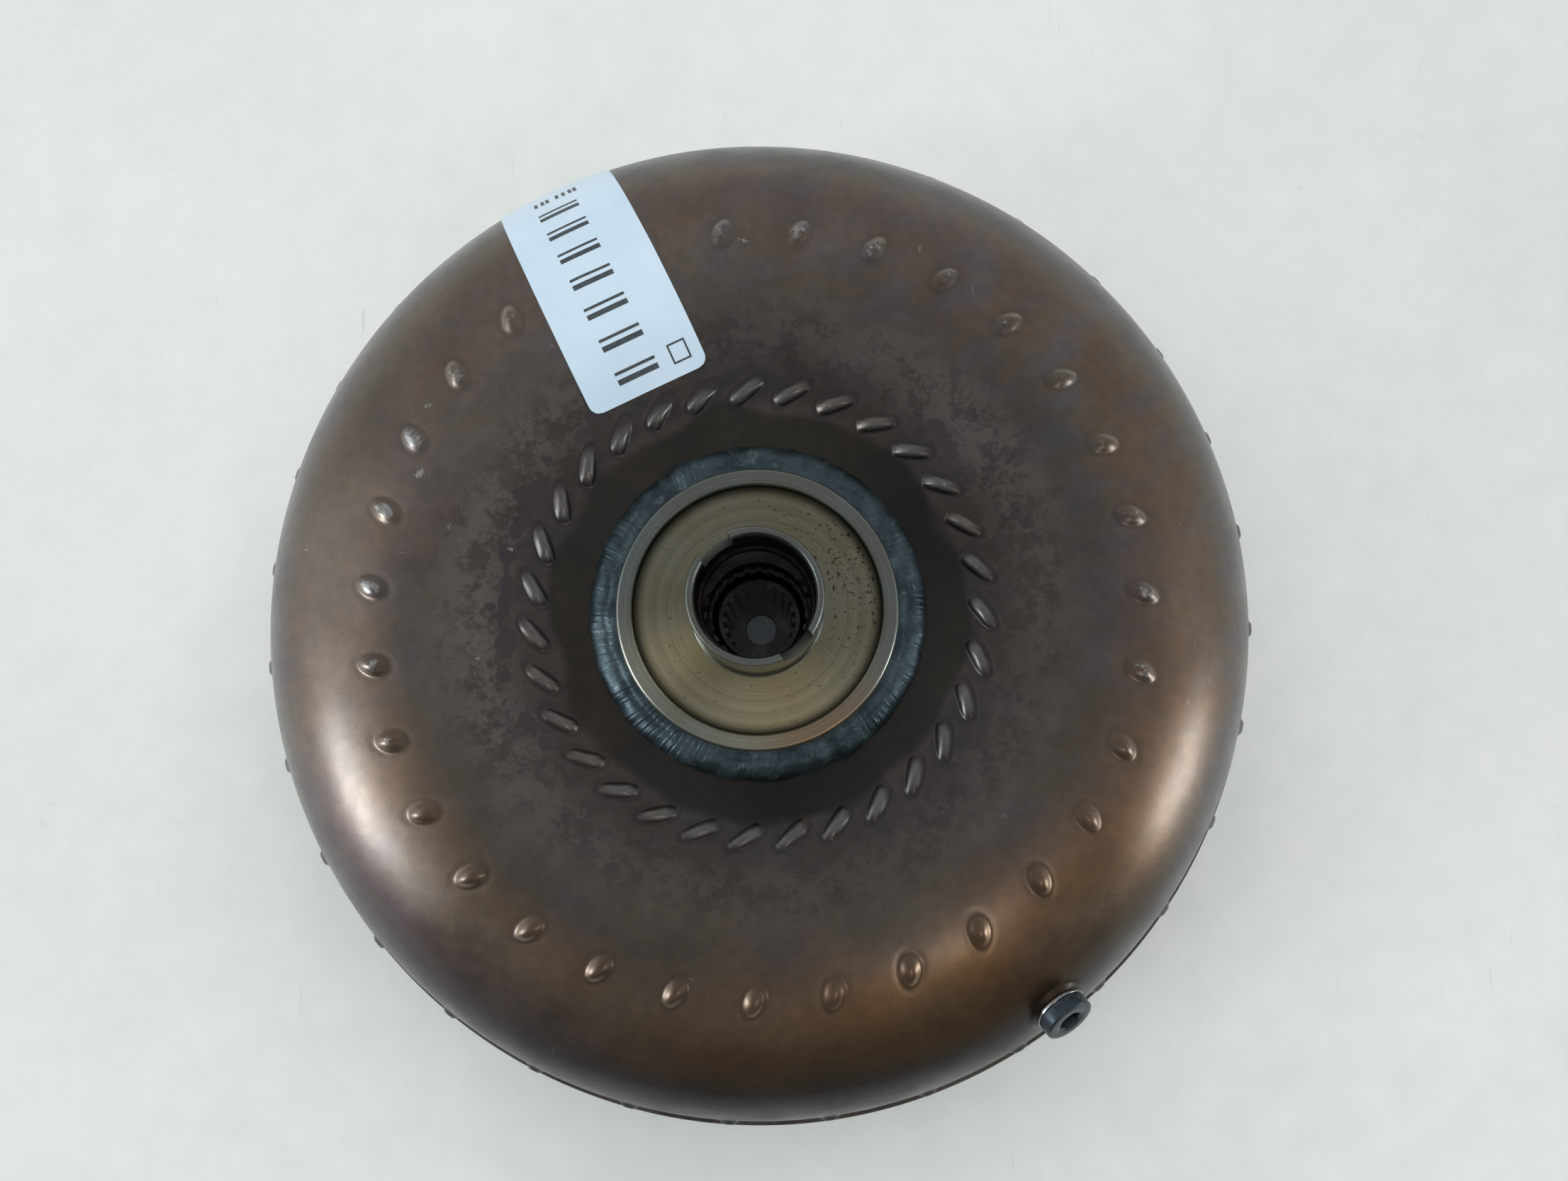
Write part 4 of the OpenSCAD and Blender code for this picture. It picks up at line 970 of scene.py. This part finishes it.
piece("drain_plug_head", plug_mesh(), "housing", "black_phosphate", phosphate_plug(), "drain_plug")
washer_low, washer_top = SEAT_Z + 0.02, SEAT_Z + WASHER_T - 0.02
washer_line = [(WASHER_IN_R, washer_low), (WASHER_OUT_R, washer_low),
               (WASHER_OUT_R, washer_top), (WASHER_IN_R, washer_top)]
washer_me = lathe("drain_washer", rounded(washer_line, 0.25, 3), 96, place=drain_frame)
piece("drain_washer", washer_me, "housing", "bearing_steel", MATS["bearing_steel"], "drain_plug_washer")

# ---------- front cover, seen from below and the side

corner = COVER_OUT_R - COVER_BEND_R
bend_in = COVER_IN_R - COVER_BEND_R
bend_z = COVER_FLOOR_Z + corner
dish_z = COVER_FLOOR_Z + 6
bend = np.linspace(-math.pi / 2, 0, 20)
arc_out = [(COVER_BEND_R + corner * math.cos(t), bend_z + corner * math.sin(t)) for t in bend]
arc_in = [(COVER_BEND_R + bend_in * math.cos(t), bend_z + (corner - COVER_T) * math.sin(t))
          for t in bend[::-1]]
joggle = [(40, dish_z), (50, dish_z), (62, COVER_FLOOR_Z), (70, COVER_FLOOR_Z)]
lip = [(COVER_OUT_R, LIP_Z - 0.3), (COVER_OUT_R - 0.3, LIP_Z), (COVER_IN_R + 0.02, LIP_Z)]
inside = [(63.5, COVER_FLOOR_Z + COVER_T), (51.5, dish_z + COVER_T), (0.02, dish_z + COVER_T)]
cover_profile = ([(0.02, dish_z), (48.5, dish_z)] + rounded(joggle, 3, 5)[6:-6]
                 + [(70, COVER_FLOOR_Z)] + arc_out + lip + arc_in + inside)
cover_me = lathe("front_cover_pressed", refine(cover_profile, 3.0), 480, sharp=40)


def cover_steel():
    g = Graph("cover_steel")
    r = g.radius()
    cloud, fine = g.noise(26, 6, 0.62), g.noise(300, 5, 0.6)
    value = g.add(g.mul(cloud, 0.65), g.mul(fine, 0.35))
    colour = g.tones(value, 0.34, 0.66, (0.085, 0.075, 0.066), (0.17, 0.15, 0.13))
    blue = g.mul(g.ramp(r, 0.098, 0.106), g.ramp(r, 0.132, 0.124))
    colour = g.over(colour, blue, 0.5, (0.10, 0.105, 0.13))
    rust = g.ramp(g.noise(75, 6, 0.7), 0.62, 0.72)
    colour = g.over(colour, rust, 0.35, (0.16, 0.085, 0.045))
    tool = g.turned(r, 900, 3)
    height = g.add(fine, g.mul(tool, 0.5))
    return g.finish(colour, g.ramp(cloud, 0.3, 0.7, 0.36, 0.52), 0.92, g.bump(height, 0.00005))


piece("front_cover_pressed", cover_me, "housing", "heat_tinted_steel", cover_steel(), "front_cover")

# ---------- label


def label_grid(rows, cols, start, length, lift):
    """Points of a strip laid on the dome: rows run down the dome, columns square off to each side."""
    corner_r = 3.0
    u = np.concatenate([np.linspace(0, corner_r, 9)[:-1], np.linspace(corner_r, length - corner_r, rows)[:-1],
                        np.linspace(length - corner_r, length, 9)])
    across = np.linspace(-1, 1, cols)
    pts = np.zeros((len(u), cols, 3))
    for i, a in enumerate(u):
        edge = min(a, length - a)
        w = LABEL_HALF
        if edge < corner_r:
            w = LABEL_HALF - corner_r + math.sqrt(max(0, corner_r**2 - (corner_r - edge) ** 2))
        for side in (1, -1):
            s, th, head, t = start - a, LABEL_ANGLE, math.pi / 2, 0.0
            targets = np.abs(across) * w
            columns = [c for c in range(cols) if across[c] * side >= -1e-9]
            for c in sorted(columns, key=lambda c: targets[c]):
                while t < targets[c] - 1e-6:
                    h = min(0.5, targets[c] - t)
                    r, z, nr, nz = on_meridian(np.array([s]))
                    dr = -nz[0]  # radius change per arc length
                    s += math.cos(head) * h
                    th += side * math.sin(head) / r[0] * h
                    head += -math.sin(head) * dr / r[0] * h
                    t += h
                r, z, nr, nz = (float(q[0]) for q in on_meridian(np.array([s])))
                rr, zz = r + nr * lift, z + nz * lift
                pts[i, c] = (rr * math.cos(th), rr * math.sin(th), zz)
    return pts, u


def closed_strip(top, low):
    """Points and faces of a thin solid between two grids of the same size."""
    n, cols = top.shape[:2]
    off = n * cols
    q = grid_quads(n, cols, False, False)
    rim = ([(i, 0) for i in range(n)] + [(n - 1, c) for c in range(1, cols)]
           + [(i, cols - 1) for i in range(n - 2, -1, -1)] + [(0, c) for c in range(cols - 2, 0, -1)])
    at = [i * cols + c for i, c in rim]
    sides = [(a, b, off + b, off + a) for a, b in zip(at, at[1:] + at[:1])]
    verts = np.concatenate([top.reshape(-1, 3), low.reshape(-1, 3)])
    return verts, np.concatenate([q, q[:, ::-1] + off, np.array(sides)])


def label_mesh():
    """The film as one closed skin, with its top and low grids and the length at each of their rows."""
    start = s_at_radius(LABEL_IN_R)
    end = float(np.interp(LABEL_OUT_Z, M_PTS[:, 1][:380], M_S[:380]))
    top, rows_at = label_grid(56, 33, start, start - end, FILM_TOP)
    low, _ = label_grid(56, 33, start, start - end, FILM_LOW)
    # the film rides gently over the two pressed dimples under it
    for g in (top, low):
        r, a = np.hypot(g[..., 0], g[..., 1]), np.arctan2(g[..., 1], g[..., 0])
        da = r * to_nearest(a, MID_DIMPLES[1])
        g[..., 2] += 0.42 * np.exp(-(np.hypot(r - MID_DIMPLES[0], da) / 5.5) ** 2)
        di = r * to_nearest(a, INNER_DIMPLES[1])
        g[..., 2] += 0.25 * np.exp(-(np.hypot(r - 62, di) / 4) ** 2)
    verts, quads = closed_strip(top, low)
    return new_mesh("label_film", verts * MM, quads), top, low, rows_at


label_me, label_top, label_low, label_rows = label_mesh()
label_me.set_sharp_from_angle(angle=math.radians(50))
piece("label_film", label_me, "housing", "heat_tinted_steel", label_vinyl())


def on_label(grid, a, w):
    """A point of a label grid at distance a down the strip and w across it."""
    i = float(np.interp(a, label_rows, np.arange(len(label_rows))))
    j = (1 - w / LABEL_HALF) / 2 * (grid.shape[1] - 1)
    i0, j0 = min(int(i), grid.shape[0] - 2), min(int(j), grid.shape[1] - 2)
    fi, fj = i - i0, j - j0
    return ((grid[i0, j0] * (1 - fj) + grid[i0, j0 + 1] * fj) * (1 - fi)
            + (grid[i0 + 1, j0] * (1 - fj) + grid[i0 + 1, j0 + 1] * fj) * fi)


def ink_bars(bars):
    """Thin printed bars on the film, each a closed strip that starts inside the film."""
    verts, quads = [], []
    for a0, a1, w0, w1 in bars:
        na, nw = max(2, int((a1 - a0) / 0.8) + 1), max(2, int((w1 - w0) / 0.8) + 1)
        top = np.zeros((na, nw, 3))
        low = np.zeros((na, nw, 3))
        for i, a in enumerate(np.linspace(a0, a1, na)):
            for j, w in enumerate(np.linspace(w0, w1, nw)):
                film, back = on_label(label_top, a, w), on_label(label_low, a, w)
                up = (film - back) / np.linalg.norm(film - back)
                top[i, j], low[i, j] = film + up * 0.05, film - up * 0.05
        strip_verts, strip_quads = closed_strip(top, low)
        quads += (strip_quads + len(verts)).tolist()
        verts += list(strip_verts)
    return new_mesh("label_bars", np.array(verts) * MM, quads)


# plain bars in place of the label's printing: seven groups down the middle, a small frame to one side
bars = []
for k in range(7):
    a = 4.4 + 9.4 * k
    bars.append((a, a + 1.5, -7.2, 4.6))
    bars.append((a + 2.7, a + 3.5, -7.2, 4.6))
bars += [(3.4, 3.9, 8.6, 13.8), (8.3, 8.8, 8.6, 13.8), (3.9, 8.3, 8.6, 9.1), (3.9, 8.3, 13.3, 13.8)]
bars += [(70.0, 73.0, w, w + 1.0) for w in (-7.0, -5.0, -3.5, -0.5, 1.5, 3.5, 5.0)]
bars_me = ink_bars(bars)
bars_me.set_sharp_from_angle(angle=math.radians(40))
piece("label_bars", bars_me, "housing", "heat_tinted_steel", label_ink())

# ---------- softened edges on the carried-over parts

for node_name in ("flexplate_pads", "pilot_boss", "balance_weight", "hub_bushing", "clutch_inner_race",
                  "turbine_hub", "turbine_hub_plug", "drain_boss"):
    soft = nodes[node_name].modifiers.new("soft_edges", "BEVEL")
    soft.width, soft.segments, soft.limit_method, soft.angle_limit = 0.25 * MM, 2, "ANGLE", math.radians(35)

# ---------- update the view layer

bpy.context.view_layer.update()
